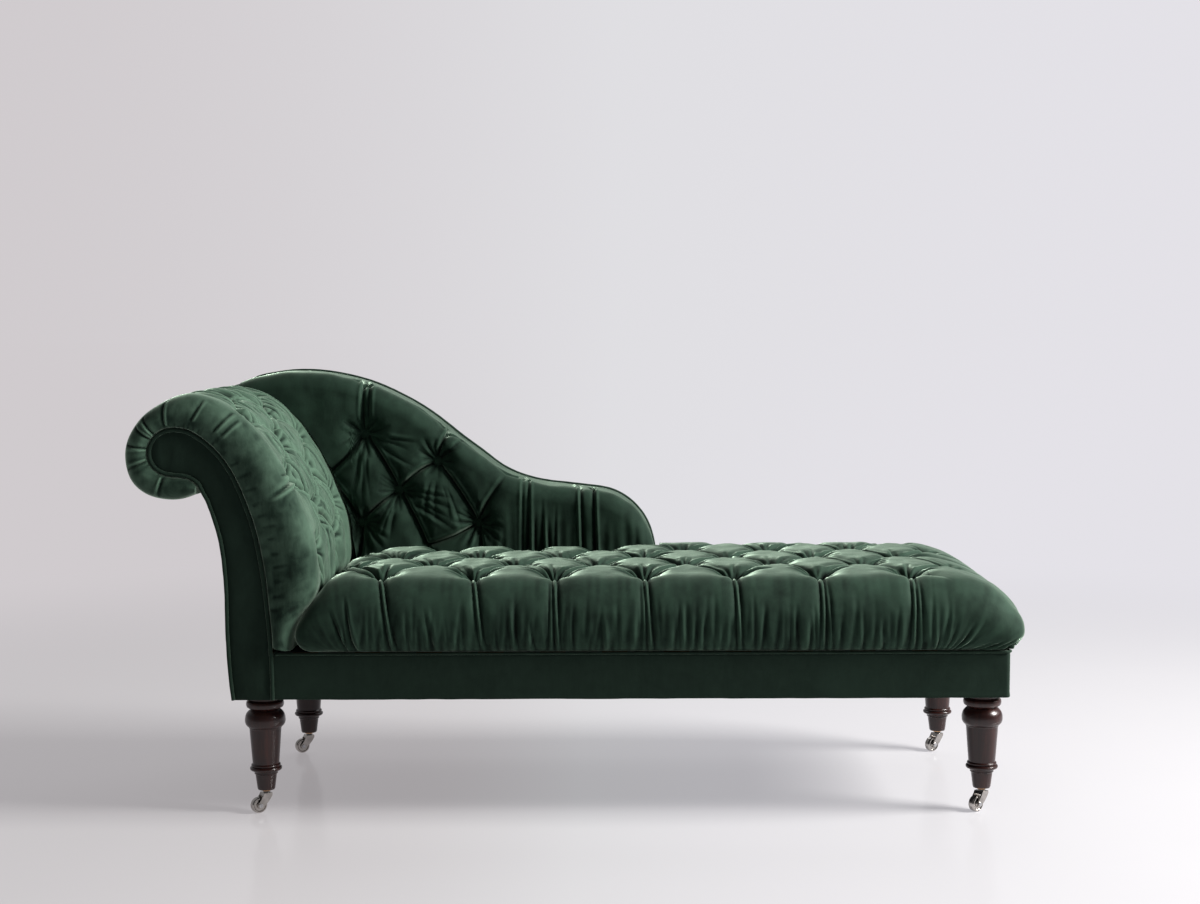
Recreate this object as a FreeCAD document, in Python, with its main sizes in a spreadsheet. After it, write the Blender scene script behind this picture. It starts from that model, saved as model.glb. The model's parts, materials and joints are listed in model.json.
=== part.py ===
"""Deep-buttoned chaise longue: hardwood seat frame, scrolled head rest, low shaped back on the rear side,
webbed and foam-filled pads under velvet covers, four turned legs and four stem castors.

Frame of the part: millimetres, +Z up, floor at z = 0, X along the length (head rest at -X, foot end at +X),
Y across the seat (front, where one sits down, at -Y; shaped back at +Y), origin under the middle of the box.
"""
import FreeCAD
import Part
import Sketcher
import math
import os

V = FreeCAD.Vector
doc = FreeCAD.newDocument("chaise_longue")
sheet = doc.addObject("Spreadsheet::Sheet", "Dims")


class Cells:
    """The sheet's numbers by alias, for the shapes that are computed in this file."""


Dims = Cells()
_row = [0]


def cell(alias, value, note=""):
    _row[0] += 1
    r = _row[0]
    sheet.set("A%d" % r, note or alias)
    sheet.set("B%d" % r, repr(float(value)))
    sheet.setAlias("B%d" % r, alias)
    setattr(Dims, alias, float(value))


# ---- driving dimensions -------------------------------------------------------------------------------------------
cell("rail_left", -677, "head end face of the seat frame")
cell("rail_right", 853, "foot end face of the seat frame")
cell("half_depth", 325, "front and rear faces of the seat frame, from the centre")
cell("rail_low", 236.5, "underside of the seat frame")
cell("rail_top", 330, "top of the seat frame")
cell("rail_thick", 28, "thickness of each seat rail")
cell("skin", 3, "velvet and wadding over a rail or board")
cell("board_thick", 22, "thickness of the scroll boards")
cell("gap", 0.4, "play between neighbouring soft solids")
cell("brace_wide", 28)
cell("brace_high", 55)
cell("brace_one", -130, "left face of the first cross brace")
cell("brace_two", 350, "left face of the second cross brace")
cell("block_leg", 105, "corner block, length of its two short sides")
cell("block_high", 34)
cell("leg_x_head", -625, "leg axes")
cell("leg_x_foot", 807)
cell("leg_y", 270)
cell("leg_low", 46.2, "underside of a leg")
cell("strap_wide", 50)
cell("strap_thick", 1.2)
cell("strap_count", 11)
cell("strap_pitch", 122)
cell("strap_first", -560)
cell("seat_low", 332.0, "underside of the seat pad")
cell("seat_top", 487, "crown of the seat pad")
cell("seat_over", 20, "how far the seat pad stands out past the rails")
cell("seat_right", 886)
cell("seat_left", -556)
cell("back_face", 202, "front face of the shaped back's pad")
cell("back_end", 168, "foot end of the shaped back")
cell("roll_front", 343, "how far forward the head pad's roll stands")
cell("piping_r", 4)
cell("rail_piping_r", 2.6)
cell("button_r", 11)
cell("button_high", 6)
cell("well_deep", 34)
cell("well_r", 27)
cell("roller_r", 37, "round rail in the middle of the scroll")
cell("roller_x", -787)
cell("roller_z", 727)
# castor
cell("wheel_r", 16)
cell("wheel_half", 7.5)
cell("axle_r", 2.5)
cell("axle_bore", 2.56)
cell("trail", 17)
cell("cheek_in", 8.2)
cell("cheek_thick", 2.6)
cell("stem_r", 4.0)
cell("socket_bore", 4.06)
cell("socket_r", 5.6)
cell("socket_deep", 36)
cell("flange_r", 10.5)
cell("flange_thick", 2.2)
cell("horn_top", 43.8)
cell("bolt_r", 4)

# Outlines in the XZ plane, as x, z pairs kept in the sheet.
OUTLINES = {
    # surface of the head pad, from the seat up the inside face and round the scroll
    "pad": [(-562, 334), (-557, 365), (-545, 398), (-521, 430), (-511, 463), (-511, 500), (-514, 532), (-520, 562), (-533, 600), (-550, 640),
            (-569, 680), (-588, 715), (-612, 750), (-639, 781), (-668, 806), (-699, 826), (-732, 838), (-762, 841), (-790, 833), (-818, 819),
            (-844, 801), (-864, 779), (-878, 755), (-885, 726), (-883, 695), (-871, 668), (-851, 648), (-824, 636), (-794, 632), (-766, 636),
            (-742, 645)],
    # edge of the scroll facing, inside of the S, from the foot of the frame up and round the scroll's eye
    "inner": [(-600, 237), (-600, 285), (-602, 338), (-605, 382), (-609, 426), (-614, 475), (-622, 527), (-632, 574), (-645, 615), (-659, 651),
              (-674, 683), (-692, 711), (-713, 735), (-736, 754), (-760, 767), (-785, 771), (-808, 766), (-825, 752), (-833, 732), (-831, 711),
              (-820, 695), (-803, 686), (-784, 683), (-765, 681), (-748, 674), (-735, 661)],
    # edge of the scroll facing, outside of the S, from the scroll down to the foot of the frame
    "outer": [(-735, 661), (-724, 638), (-714, 613), (-705, 585), (-697, 553), (-692, 520), (-689, 484), (-687, 441), (-687, 397), (-686, 353),
              (-684, 310), (-681, 272), (-677, 237)],
    # top edge of the shaped back, from the scroll over the hump and down to the foot end
    "hump": [(-775, 838), (-745, 851), (-705, 862), (-662, 868), (-616, 869), (-570, 865), (-524, 856), (-478, 843), (-430, 823), (-375, 794),
             (-322, 758), (-272, 718), (-220, 679), (-180, 649), (-135, 628), (-85, 615), (-30, 608), (20, 602), (62, 595), (95, 580), (124, 556),
             (146, 525), (159, 490), (166, 450), (168, 400), (168, 334)],
}
for _n, _pts in OUTLINES.items():
    for _i, (_x, _z) in enumerate(_pts):
        cell("%s_px%02d" % (_n, _i), _x)
        cell("%s_pz%02d" % (_n, _i), _z)
doc.recompute()


def outline(name):
    n = len(OUTLINES[name])
    return [(getattr(Dims, "%s_px%02d" % (name, i)), getattr(Dims, "%s_pz%02d" % (name, i))) for i in range(n)]


def value(e):
    return float(e) if isinstance(e, (int, float)) else float(sheet_number(e))


def sheet_number(text):
    """The sheet's own arithmetic on one expression, kept in a helper cell."""
    helper = doc.getObject("Helper") or doc.addObject("App::FeaturePython", "Helper")
    if not hasattr(helper, "Result"):
        helper.addProperty("App::PropertyFloat", "Result")
    helper.setExpression("Result", text)
    helper.recompute()
    return helper.Result


NODES = {}
FORMS = {}


def node(obj, name):
    obj.Label = name
    NODES[name] = obj
    return obj


def bind(obj, **sizes):
    for prop, text in sizes.items():
        path = {"x": "Placement.Base.x", "y": "Placement.Base.y", "z": "Placement.Base.z"}.get(prop, prop)
        if isinstance(text, (int, float)):
            text = repr(float(text))
        obj.setExpression(path, text)
    return obj


def box(name, x, y, z, length, width, height):
    return bind(doc.addObject("Part::Box", name), x=x, y=y, z=z, Length=length, Width=width, Height=height)


def cylinder(name, x, y, z, radius, height):
    return bind(doc.addObject("Part::Cylinder", name), x=x, y=y, z=z, Radius=radius, Height=height)


def boolean(kind, name, base, tool):
    o = doc.addObject("Part::" + kind, name)
    o.Base, o.Tool = base, tool
    return o


def several(name, parts):
    o = doc.addObject("Part::Compound", name)
    o.Links = parts
    return o


def plane(body, role):
    return next(f for f in body.Origin.OriginFeatures if f.Role == role)


def polygon(body, name, role, points):
    """A closed sketch of straight lines on one of the body's own planes. Each corner's two coordinates are bound to the sheet."""
    sk = body.newObject("Sketcher::SketchObject", name)
    sk.AttachmentSupport = [(plane(body, role), "")]
    sk.MapMode = "FlatFace"
    at = [(value(a), value(b)) for a, b in points]
    n = len(at)
    for i in range(n):
        a, b = at[i], at[(i + 1) % n]
        sk.addGeometry(Part.LineSegment(V(a[0], a[1], 0), V(b[0], b[1], 0)), False)
    for i in range(n):
        sk.addConstraint(Sketcher.Constraint("Coincident", i, 2, (i + 1) % n, 1))
    for i, (pa, pb) in enumerate(points):
        for kind, e, v in (("DistanceX", pa, at[i][0]), ("DistanceY", pb, at[i][1])):
            if abs(v) < 1e-9:
                sk.addConstraint(Sketcher.Constraint("PointOnObject", i, 1, -2 if kind == "DistanceX" else -1))
                continue
            text = e if isinstance(e, str) else repr(float(e))
            if v > 0:
                c = sk.addConstraint(Sketcher.Constraint(kind, -1, 1, i, 1, v))
                sk.setExpression("Constraints[%d]" % c, text)
            else:
                c = sk.addConstraint(Sketcher.Constraint(kind, i, 1, -1, 1, -v))
                sk.setExpression("Constraints[%d]" % c, "-(%s)" % text)
    return sk


def curve_sketch(body, name, runs):
    """A closed sketch in the XZ plane of smooth runs and straight lines, each run a list of x, z points. Neighbouring runs share their ends."""
    sk = body.newObject("Sketcher::SketchObject", name)
    sk.AttachmentSupport = [(plane(body, "XZ_Plane"), "")]
    sk.MapMode = "FlatFace"
    for pts in runs:
        vs = [V(x, z, 0) for x, z in pts]
        if len(vs) == 2:
            sk.addGeometry(Part.LineSegment(vs[0], vs[1]), False)
        else:
            c = Part.BSplineCurve()
            c.interpolate(vs)
            sk.addGeometry(c, False)
    n = len(runs)
    for i in range(n):
        sk.addConstraint(Sketcher.Constraint("Block", i))
    return sk


def pad_xz(name, sketch_maker, y_low, y_high):
    """A body padded from its XZ sketch between two Y values. The sketch plane's normal is -Y."""
    body = doc.addObject("PartDesign::Body", name)
    sk = sketch_maker(body)
    sk.setExpression(".AttachmentOffset.Base.z", "-(%s)" % y_high)
    pad = body.newObject("PartDesign::Pad", name + "_pad")
    pad.Profile = sk
    pad.setExpression("Length", "(%s) - (%s)" % (y_high, y_low))
    body.Tip = pad
    return body


def offset_run(pts, d):
    """The points moved d to the left of their direction of travel."""
    out = []
    for i in range(len(pts)):
        a, b = pts[max(i - 1, 0)], pts[min(i + 1, len(pts) - 1)]
        tx, tz = b[0] - a[0], b[1] - a[1]
        k = math.hypot(tx, tz)
        out.append((pts[i][0] - tz / k * d, pts[i][1] + tx / k * d))
    return out


def clip_low(pts, z, first=True):
    """A run cut where it crosses the height z, keeping what is above."""
    out = []
    for i in range(len(pts)):
        if pts[i][1] >= z:
            if i and pts[i - 1][1] < z:
                a, b = pts[i - 1], pts[i]
                t = (z - a[1]) / (b[1] - a[1])
                if b[1] - z > 8:
                    out.append((a[0] + t * (b[0] - a[0]), z))
                    out.append(b)
                else:
                    out.append((a[0] + t * (b[0] - a[0]), z))
                continue
            out.append(pts[i])
        elif i and pts[i - 1][1] >= z:
            a, b = pts[i - 1], pts[i]
            t = (z - a[1]) / (b[1] - a[1])
            cut = (a[0] + t * (b[0] - a[0]), z)
            if a[1] - z < 8:
                out.pop()
            out.append(cut)
    return out


# ---- seat frame ---------------------------------------------------------------------------------------------------
rail_z, rail_h = "Dims.rail_low + 1.5", "Dims.rail_top - Dims.rail_low - 3.5"
for rail, label, y0, side in (("front_rail", "front_seat_rail", "-(Dims.half_depth - Dims.skin)", -1), ("rear_rail", "back_seat_rail", "Dims.half_depth - Dims.skin - Dims.rail_thick", 1)):
    blank = box(rail, "Dims.rail_left + Dims.skin", y0, rail_z, "Dims.rail_right - Dims.rail_left - 2*Dims.skin", "Dims.rail_thick", rail_h)
    doc.recompute()
    # the foot end's outer corner is rounded off so that the velvet lies over it
    rounded = doc.addObject("Part::Fillet", rail + "_rounded")
    rounded.Base = blank
    rounded.Edges = [(i + 1, 7.0, 7.0) for i, e in enumerate(blank.Shape.Edges)
                     if abs(e.tangentAt(e.FirstParameter).z) > 0.9 and e.CenterOfMass.x > 800 and side * e.CenterOfMass.y > Dims.half_depth - 10]
    node(rounded, label)
inner_w = "2*(Dims.half_depth - Dims.skin - Dims.rail_thick)"
node(box("head_rail", "Dims.rail_left + Dims.skin", "-(Dims.half_depth - Dims.skin - Dims.rail_thick)", rail_z, "Dims.rail_thick", inner_w, rail_h), "head_seat_rail")
node(box("foot_rail", "Dims.rail_right - Dims.skin - Dims.rail_thick", "-(Dims.half_depth - Dims.skin - Dims.rail_thick)", rail_z, "Dims.rail_thick", inner_w, rail_h), "foot_seat_rail")
node(several("braces", [box("brace_%s" % k, "Dims.brace_%s" % k, "-(Dims.half_depth - Dims.skin - Dims.rail_thick)", "Dims.rail_low + 6", "Dims.brace_wide", inner_w, "Dims.brace_high") for k in ("one", "two")]), "seat_cross_braces")

LEGS = {"front_head": ("Dims.leg_x_head", "-Dims.leg_y", 1, 1), "front_foot": ("Dims.leg_x_foot", "-Dims.leg_y", -1, 1),
        "back_head": ("Dims.leg_x_head", "Dims.leg_y", 1, -1), "back_foot": ("Dims.leg_x_foot", "Dims.leg_y", -1, -1)}
blocks = []
for k, (lx, ly, sx, sy) in LEGS.items():
    cx = "Dims.rail_left + Dims.skin + Dims.rail_thick" if sx > 0 else "Dims.rail_right - Dims.skin - Dims.rail_thick"
    cy = "-(Dims.half_depth - Dims.skin - Dims.rail_thick)" if sy > 0 else "Dims.half_depth - Dims.skin - Dims.rail_thick"
    body = doc.addObject("PartDesign::Body", "block_" + k)
    sgnx, sgny = ("+" if sx > 0 else "-"), ("+" if sy > 0 else "-")
    sk = polygon(body, "block_sketch_" + k, "XY_Plane", [(cx, cy), ("%s %s Dims.block_leg" % (cx, sgnx), cy), (cx, "%s %s Dims.block_leg" % (cy, sgny))])
    sk.setExpression(".AttachmentOffset.Base.z", rail_z)
    p = body.newObject("PartDesign::Pad", "block_pad_" + k)
    p.Profile = sk
    p.setExpression("Length", "Dims.block_high")
    body.Tip = p
    hole = cylinder("block_hole_" + k, lx, ly, "Dims.rail_low", "Dims.bolt_r + 0.3", "Dims.block_high + 10")
    blocks.append(boolean("Cut", "block_cut_" + k, body, hole))
node(several("blocks", blocks), "corner_blocks")

# webbing over the rails, and the cloths
cross = [box("strap_%02d" % i, "Dims.strap_first + %d*Dims.strap_pitch" % i, "-(Dims.half_depth - Dims.skin - 6)", "Dims.rail_top - 2", "Dims.strap_wide", "2*(Dims.half_depth - Dims.skin - 6)", "Dims.strap_thick")
         for i in range(int(Dims.strap_count))]
node(several("straps_across", cross), "seat_webbing_across")
along = [box("strap_long_%d" % i, "Dims.rail_left + Dims.skin + 4", "%g - Dims.strap_wide/2" % y, "Dims.rail_top - 2 + Dims.strap_thick", "Dims.rail_right - Dims.rail_left - 2*Dims.skin - 8", "Dims.strap_wide", "Dims.strap_thick")
         for i, y in enumerate((-210, -70, 70, 210))]
node(several("straps_along", along), "seat_webbing_along")
node(box("platform", "-590", "-(Dims.half_depth - Dims.skin - 5)", "Dims.rail_top - 2 + 2*Dims.strap_thick", "Dims.rail_right - Dims.skin - 5 + 590", "2*(Dims.half_depth - Dims.skin - 5) - 24", "1.0"), "seat_platform_cloth")
dust = box("dust_sheet", "Dims.rail_left + 8", "-(Dims.half_depth - 8)", "Dims.rail_low + 0.2", "Dims.rail_right - Dims.rail_left - 16", "2*(Dims.half_depth - 8)", "1.1")
for k, (lx, ly, sx, sy) in LEGS.items():
    dust = boolean("Cut", "dust_cut_" + k, dust, cylinder("dust_hole_" + k, lx, ly, "Dims.rail_low - 5", "Dims.bolt_r + 1", "20"))
node(dust, "dust_cover")

# ---- scroll boards and rails of the head rest ---------------------------------------------------------------------
inner, outer, pad, hump = outline("inner"), outline("outer"), outline("pad"), outline("hump")


def scroll_face(body, inset, low, name):
    """The S of the scroll, drawn in by inset, cut off level at the height low."""
    a = clip_low(offset_run(inner, inset), low)
    b = clip_low(offset_run(outer, inset), low)
    corner = ((a[-1][0] + b[0][0]) / 2, (a[-1][1] + b[0][1]) / 2)
    a[-1] = b[0] = corner
    a[0] = (a[0][0], low)
    b[-1] = (b[-1][0], low)
    return curve_sketch(body, name, [a, b, [b[-1], a[0]]])


node(pad_xz("front_board", lambda b: scroll_face(b, 7.0, Dims.rail_top - 2, "front_board_sketch"), "-(Dims.half_depth - Dims.skin)", "-(Dims.half_depth - Dims.skin - Dims.board_thick)"), "head_board_front")


def rear_board_face(body, inset=7.0, low=Dims.rail_top - 2):
    """The rear board is cut to the pad's whole outline, because the shaped back closes against it."""
    a = clip_low(offset_run(pad, inset), Dims.rail_top + 4)[:-1]
    a[0] = (a[0][0], low)
    b = clip_low(offset_run(outer, inset), low)
    b[-1] = (b[-1][0], low)
    a += [(-746, 651.5), b[0]]
    return curve_sketch(body, "rear_board_sketch", [a, b, [b[-1], a[0]]])


node(pad_xz("rear_board", rear_board_face, "Dims.half_depth - Dims.skin - Dims.board_thick", "Dims.half_depth - Dims.skin"), "head_board_rear")


def base_cloth_face(body):
    low = Dims.seat_low + 2
    a = clip_low(offset_run(inner, 4.2), low)
    b = clip_low(offset_run(inner, 5.8), low)
    a[0], b[0] = (a[0][0], low), (b[0][0], low)
    a, b = a[:-3], b[:-3]
    return curve_sketch(body, "base_cloth_sketch", [a, [a[-1], b[-1]], list(reversed(b)), [b[0], a[0]]])


node(pad_xz("base_cloth", base_cloth_face, "-(Dims.half_depth - Dims.skin - 3)", "Dims.half_depth - Dims.skin - Dims.board_thick - 0.4"), "head_base_cloth")
between = "2*(Dims.half_depth - Dims.skin - Dims.board_thick)"
by = "-(Dims.half_depth - Dims.skin - Dims.board_thick)"
node(box("head_low_rail", "-676", by, "Dims.rail_top + 6", "64", between, "38"), "head_bottom_rail")
stays = [box("head_stay_a", "-682", by, "480", "26", between, "60"), box("head_stay_b", "-703", by, "600", "26", between, "48")]
node(several("head_stays", stays), "head_back_rails")
roller = bind(doc.addObject("Part::Cylinder", "roller"), Radius="Dims.roller_r", Height=between)
roller.Placement = FreeCAD.Placement(V(0, 0, 0), FreeCAD.Rotation(V(1, 0, 0), -90))
bind(roller, x="Dims.roller_x", y=by, z="Dims.roller_z")
node(roller, "head_scroll_roller")

# ---- head pad, its cover and the fabric outside -------------------------------------------------------------------
LOW = Dims.seat_low + 2


def head_band(body, outside, inside, name, low=LOW):
    """The band between the pad's surface and the scroll, drawn in from the surface by outside and off the scroll by inside."""
    a = clip_low(offset_run(pad, outside), low)
    b = clip_low(offset_run(inner, -inside), low)
    b = [p for p in b if not (p[0] > -752 and 640 < p[1] < 690)]
    a = [p for p in a]
    a[0], b[0] = (a[0][0], low), (b[0][0], low)
    return curve_sketch(body, name, [a, [a[-1], b[-1]], list(reversed(b)), [b[0], a[0]]])


def travel(pts):
    s = [0.0]
    for a, b in zip(pts, pts[1:]):
        s.append(s[-1] + math.hypot(b[0] - a[0], b[1] - a[1]))
    return s


def at_travel(pts, s, u):
    for i in range(1, len(pts)):
        if s[i] >= u:
            t = (u - s[i - 1]) / (s[i] - s[i - 1])
            a, b = pts[i - 1], pts[i]
            return (a[0] + t * (b[0] - a[0]), a[1] + t * (b[1] - a[1])), ((b[0] - a[0]) / (s[i] - s[i - 1]), (b[1] - a[1]) / (s[i] - s[i - 1]))


def wells(places, r_top, r_low, deep, name, extra=0.0):
    """Cones that go in along each normal, to the depth of the button's underside."""
    cones = []
    for p, n in places:
        foot = p - n * (deep + extra)
        k = (r_top - r_low) / deep
        top = 14.0
        cones.append(Part.makeCone(r_low, r_low + k * (deep + extra + top), deep + extra + top, foot, n))
    f = doc.addObject("Part::Feature", name)
    f.Shape = Part.makeCompound(cones)
    return f


def buttons(places, deep, name):
    """Covered buttons: a domed disc each, sitting at the bottom of its well."""
    r, h = Dims.button_r, Dims.button_high
    dome = h - 2.0
    ball = (r * r + dome * dome) / (2 * dome)
    lens = Part.makeCylinder(r, h + 1).common(Part.makeSphere(ball, V(0, 0, h - ball)))
    made = []
    for p, n in places:
        b = lens.copy()
        b.Placement = FreeCAD.Placement(p - n * (deep - 0.3), FreeCAD.Rotation(V(0, 0, 1), n))
        made.append(b)
    f = doc.addObject("Part::Feature", name)
    f.Shape = Part.makeCompound(made)
    return node(f, name)


ss = travel(pad)
HEAD_ROWS = [(205.0, (-240, 5)), (283.0, (-118, 128)), (361.0, (-240, 5)), (439.0, (-118, 128)), (515.0, (-240, 5)), (590.0, (-118, 128))]
head_places = []
for u, ys in HEAD_ROWS:
    (px, pz), (tx, tz) = at_travel(pad, ss, u)
    for y in ys:
        head_places.append((V(px, y, pz), V(tz, 0, -tx)))
for nm, ins, wr, ex in (("head_outer", 0.0, 0.0, 0.0), ("head_inner", 3.6, 3.6, 3.6)):
    bdy = pad_xz(nm, lambda b, i=ins, n=nm: head_band(b, i, Dims.piping_r + 1.2 + i * 0.95, n + "_sketch", LOW + i * 0.3), "-(Dims.roll_front - %g)" % ins,
                 "Dims.half_depth - Dims.skin - 1" if ins == 0 else "Dims.half_depth - Dims.skin - Dims.board_thick - 0.5")
    # the wells share a common foot, where the button sits on the cover
    w = wells(head_places, Dims.well_r + wr, Dims.button_r + 1.5 + wr, Dims.well_deep, nm + "_wells", ex)
    FORMS[nm] = boolean("Cut", nm + "_cut", bdy, w)
node(FORMS["head_inner"], "head_foam")


# the inner form again, a hair larger than the foam, so that foam and cover don't share faces
bdy = pad_xz("head_lining", lambda b: head_band(b, 3.0, Dims.piping_r + 1.2 + 2.7, "head_lining_sketch", LOW - 6), "-(Dims.roll_front - 3.0)", "Dims.half_depth + 20")
w = wells(head_places, Dims.well_r + 3.0, Dims.button_r + 1.5 + 3.0, Dims.well_deep, "head_lining_wells", 3.0)
lining = boolean("Cut", "head_lining_cut", bdy, w)
cover = boolean("Cut", "head_cover_shell", FORMS["head_outer"], lining)
room = pad_xz("rear_board_room", lambda b: rear_board_face(b, 6.4, Dims.rail_top - 12), "Dims.half_depth - Dims.skin - Dims.board_thick - 0.5", "Dims.half_depth + 20")
node(boolean("Cut", "head_cover_cut", cover, room), "head_cover")
buttons(head_places, Dims.well_deep, "head_buttons")


def outside_skin(body):
    a = clip_low(list(reversed(offset_run(outer, 0.4))), Dims.rail_low)
    a[0] = (a[0][0], Dims.rail_low)
    b = clip_low(list(reversed(offset_run(outer, 3.0))), Dims.rail_low)
    b[0] = (b[0][0], Dims.rail_low)
    a, b = a[:-1], b[:-1]
    return curve_sketch(body, "outside_skin_sketch", [a, [a[-1], b[-1]], list(reversed(b)), [b[0], a[0]]])


node(pad_xz("head_outside", outside_skin, "-(Dims.half_depth - Dims.piping_r - 0.4)", "Dims.half_depth - Dims.piping_r - 0.4"), "head_outside_cover")
node(pad_xz("facing", lambda b: scroll_face(b, Dims.piping_r + 1.3, Dims.rail_low, "facing_sketch"), "-Dims.half_depth", "-(Dims.half_depth - Dims.skin + 0.2)"), "scroll_facing_front")


# ---- piping: straight runs joined by tangent arcs -----------------------------------------------------------------
def run_wire(pts):
    """A wire of straight runs joined by arcs as large as the runs allow."""
    edges, at = [], pts[0]
    for i in range(1, len(pts) - 1):
        a, p, b = pts[i - 1], pts[i], pts[i + 1]
        u, w = (a - p), (b - p)
        lu, lw = u.Length, w.Length
        u, w = u.normalize(), w.normalize()
        turn = math.pi - u.getAngle(w)
        if turn < 0.004:
            continue
        cut = 0.45 * min(lu, lw)
        s, e = p + u * cut, p + w * cut
        r = cut / math.tan(turn / 2)
        bis = (u + w).normalize()
        mid = p + bis * (r / math.cos(turn / 2) - r)
        edges += [Part.LineSegment(at, s).toShape(), Part.Arc(s, mid, e).toShape()]
        at = e
    edges.append(Part.LineSegment(at, pts[-1]).toShape())
    return Part.Wire(edges)


def tube(name, runs, r):
    made = []
    for pts in runs:
        wire = run_wire(pts)
        d = (pts[1] - pts[0]).normalize()
        ring = Part.Wire(Part.makeCircle(r, pts[0], d))
        t = wire.makePipeShell([ring], True, False)
        want = math.pi * r * r * wire.Length
        assert abs(t.Volume / want - 1) < 0.02, (name, t.Volume, want)
        made.append(t)
    f = doc.addObject("Part::Feature", name)
    f.Shape = made[0] if len(made) == 1 else Part.makeCompound(made)
    return node(f, name)


def thin(pts, step):
    """Points of a run about step apart, ends kept."""
    s = travel(pts)
    n = max(2, int(round(s[-1] / step)))
    return [pts[0]] + [at_travel(pts, s, s[-1] * i / n)[0] for i in range(1, n)] + [pts[-1]]


fy = -(Dims.half_depth + 1.2)
tube("facing_piping", [[V(x, fy, z) for x, z in thin(inner, 12)[:-1] + [(-738, 665), (-731, 651)] + thin(outer, 26)[1:]]], Dims.piping_r)

# ---- shaped back --------------------------------------------------------------------------------------------------
ry0, ry1 = "Dims.half_depth - Dims.skin - Dims.board_thick", "Dims.half_depth - Dims.skin"
low_z = "Dims.rail_top - 2 + 2*Dims.strap_thick + 0.2"
TOPN = [p for p in hump if p[1] > 560 or p[0] < 90]


def back_rail_face(body):
    """A curved board under the hump, 60 wide, from the head pad to the foot end."""
    a = offset_run(hump, -8)
    b = offset_run(hump, -66)
    a = [p for p in a if -630 < p[0] < 90 and p[1] > 560]
    b = [p for p in b if a[0][0] + 2 < p[0] < 62 and p[1] > 500]
    b = [(a[0][0], b[0][1] - 2)] + b
    return curve_sketch(body, "back_top_sketch", [a, [a[-1], b[-1]], list(reversed(b)), [b[0], a[0]]])


node(pad_xz("back_top", back_rail_face, ry0, ry1), "back_top_rail")


def end_post_face(body):
    a = [p for p in offset_run(hump, -8) if p[1] <= 572 and p[0] > 90]
    low = value(low_z)
    a[-1] = (a[-1][0], low)
    x0 = 66
    return curve_sketch(body, "back_end_sketch", [a, [a[-1], (x0, low)], [(x0, low), (x0, 500)], [(x0, 500), a[0]]])


node(pad_xz("back_end", end_post_face, ry0, ry1), "back_end_post")
node(box("back_low", "-540", ry0, low_z, "604", "Dims.board_thick", "48"), "back_bottom_rail")
ups = []
for i, (x, h) in enumerate(((-490, 782), (-320, 705), (-105, 566))):
    up = box("upright_box_%d" % i, "%g" % x, ry0, low_z + " + 48.2", "44", "Dims.board_thick", "%g - (%s) - 48.2" % (h, low_z))
    ups.append(boolean("Cut", "upright_%d" % i, up, NODES["back_top_rail"]))
node(several("uprights", ups), "back_uprights")


def back_face_sketch(body, inset, name, low):
    """The back pad's outline: up the head pad's surface, over the hump and down the foot end."""
    a = [p for p in offset_run(pad, -(Dims.gap + inset)) if p[1] > low and (p[0] > -760)]
    a = [p for p in a if p[1] < 842 and not (p[0] < -700)]
    a.insert(0, (a[0][0], low))
    if a[1][1] - low < 8:
        a.pop(1)
    h = [p for p in offset_run(hump, -inset) if p[0] > -726]
    h = h[:-1] + [(h[-1][0], low)]
    a[-1] = (a[-1][0] + inset, a[-1][1])
    h[0] = (h[0][0] + inset, h[0][1])
    return curve_sketch(body, name, [a, [a[-1], h[0]], h, [h[-1], a[0]]])


back_low = Dims.seat_low + 2
BACK_BUTTONS = [(-482, 730), (-320, 668), (-407, 603), (-231, 529), (-492, 531)]
bp = [(V(x, Dims.back_face, z), V(0, -1, 0)) for x, z in BACK_BUTTONS]
for nm, ins, y0, y1 in (("back_outer", 0.0, "Dims.back_face", "Dims.half_depth - Dims.skin - 1"), ("back_inner", 4.4, "Dims.back_face + 4.4", "Dims.half_depth - Dims.skin - Dims.board_thick - 2"), ("back_lining", 3.0, "Dims.back_face + 3.0", "Dims.half_depth + 20")):
    low = back_low + (1.0 if nm == "back_inner" else 0.0) - (6.0 if nm == "back_lining" else 0.0)
    bdy = pad_xz(nm, lambda b, i=ins, n=nm, l=low: back_face_sketch(b, i, n + "_sketch", l), y0, y1)
    extra = 0.0 if nm == "back_outer" else ins
    w = wells(bp, Dims.well_r + extra, Dims.button_r + 1.5 + extra, Dims.well_deep, nm + "_wells", extra)
    FORMS[nm] = boolean("Cut", nm + "_cut", bdy, w)
node(FORMS["back_inner"], "back_foam")
node(pad_xz("back_base", lambda b: back_face_sketch(b, 9.0, "back_base_sketch", back_low), "Dims.half_depth - Dims.skin - Dims.board_thick - 1.7", "Dims.half_depth - Dims.skin - Dims.board_thick - 0.3"), "back_base_cloth")
node(boolean("Cut", "back_cover_shell", FORMS["back_outer"], FORMS["back_lining"]), "back_cover")
buttons(bp, Dims.well_deep, "back_buttons")

# the whole rear is one flat fabric panel, piped all round
scroll_round = [p for p in pad if p[0] < -735]
rear = list(reversed(outer))[:-2]                       # up the outside of the S
rear_curl = list(reversed([p for p in pad[17:]]))       # from under the scroll round to its top
sil_a = [p for p in rear]
sil_b = rear_curl[:-1]
sil_c = hump


def rear_runs(inset):
    a = offset_run(sil_a, -inset)
    b = offset_run(sil_b, -inset)
    c = offset_run(sil_c, -inset)
    a[0] = (a[0][0], Dims.rail_low)
    b = [p for p in b if p[0] < -745]
    # the nook under the scroll, where the two runs meet
    a = [p for p in a if p[1] < 625]
    nook = (-737, 651 - inset)
    a.append(nook)
    b = [nook] + [p for p in b if p[0] < -750]
    c = [p for p in c if p[0] > b[-1][0] + 12]
    c = c[:-1] + [(c[-1][0], Dims.rail_low)]
    return a, b, c


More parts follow.
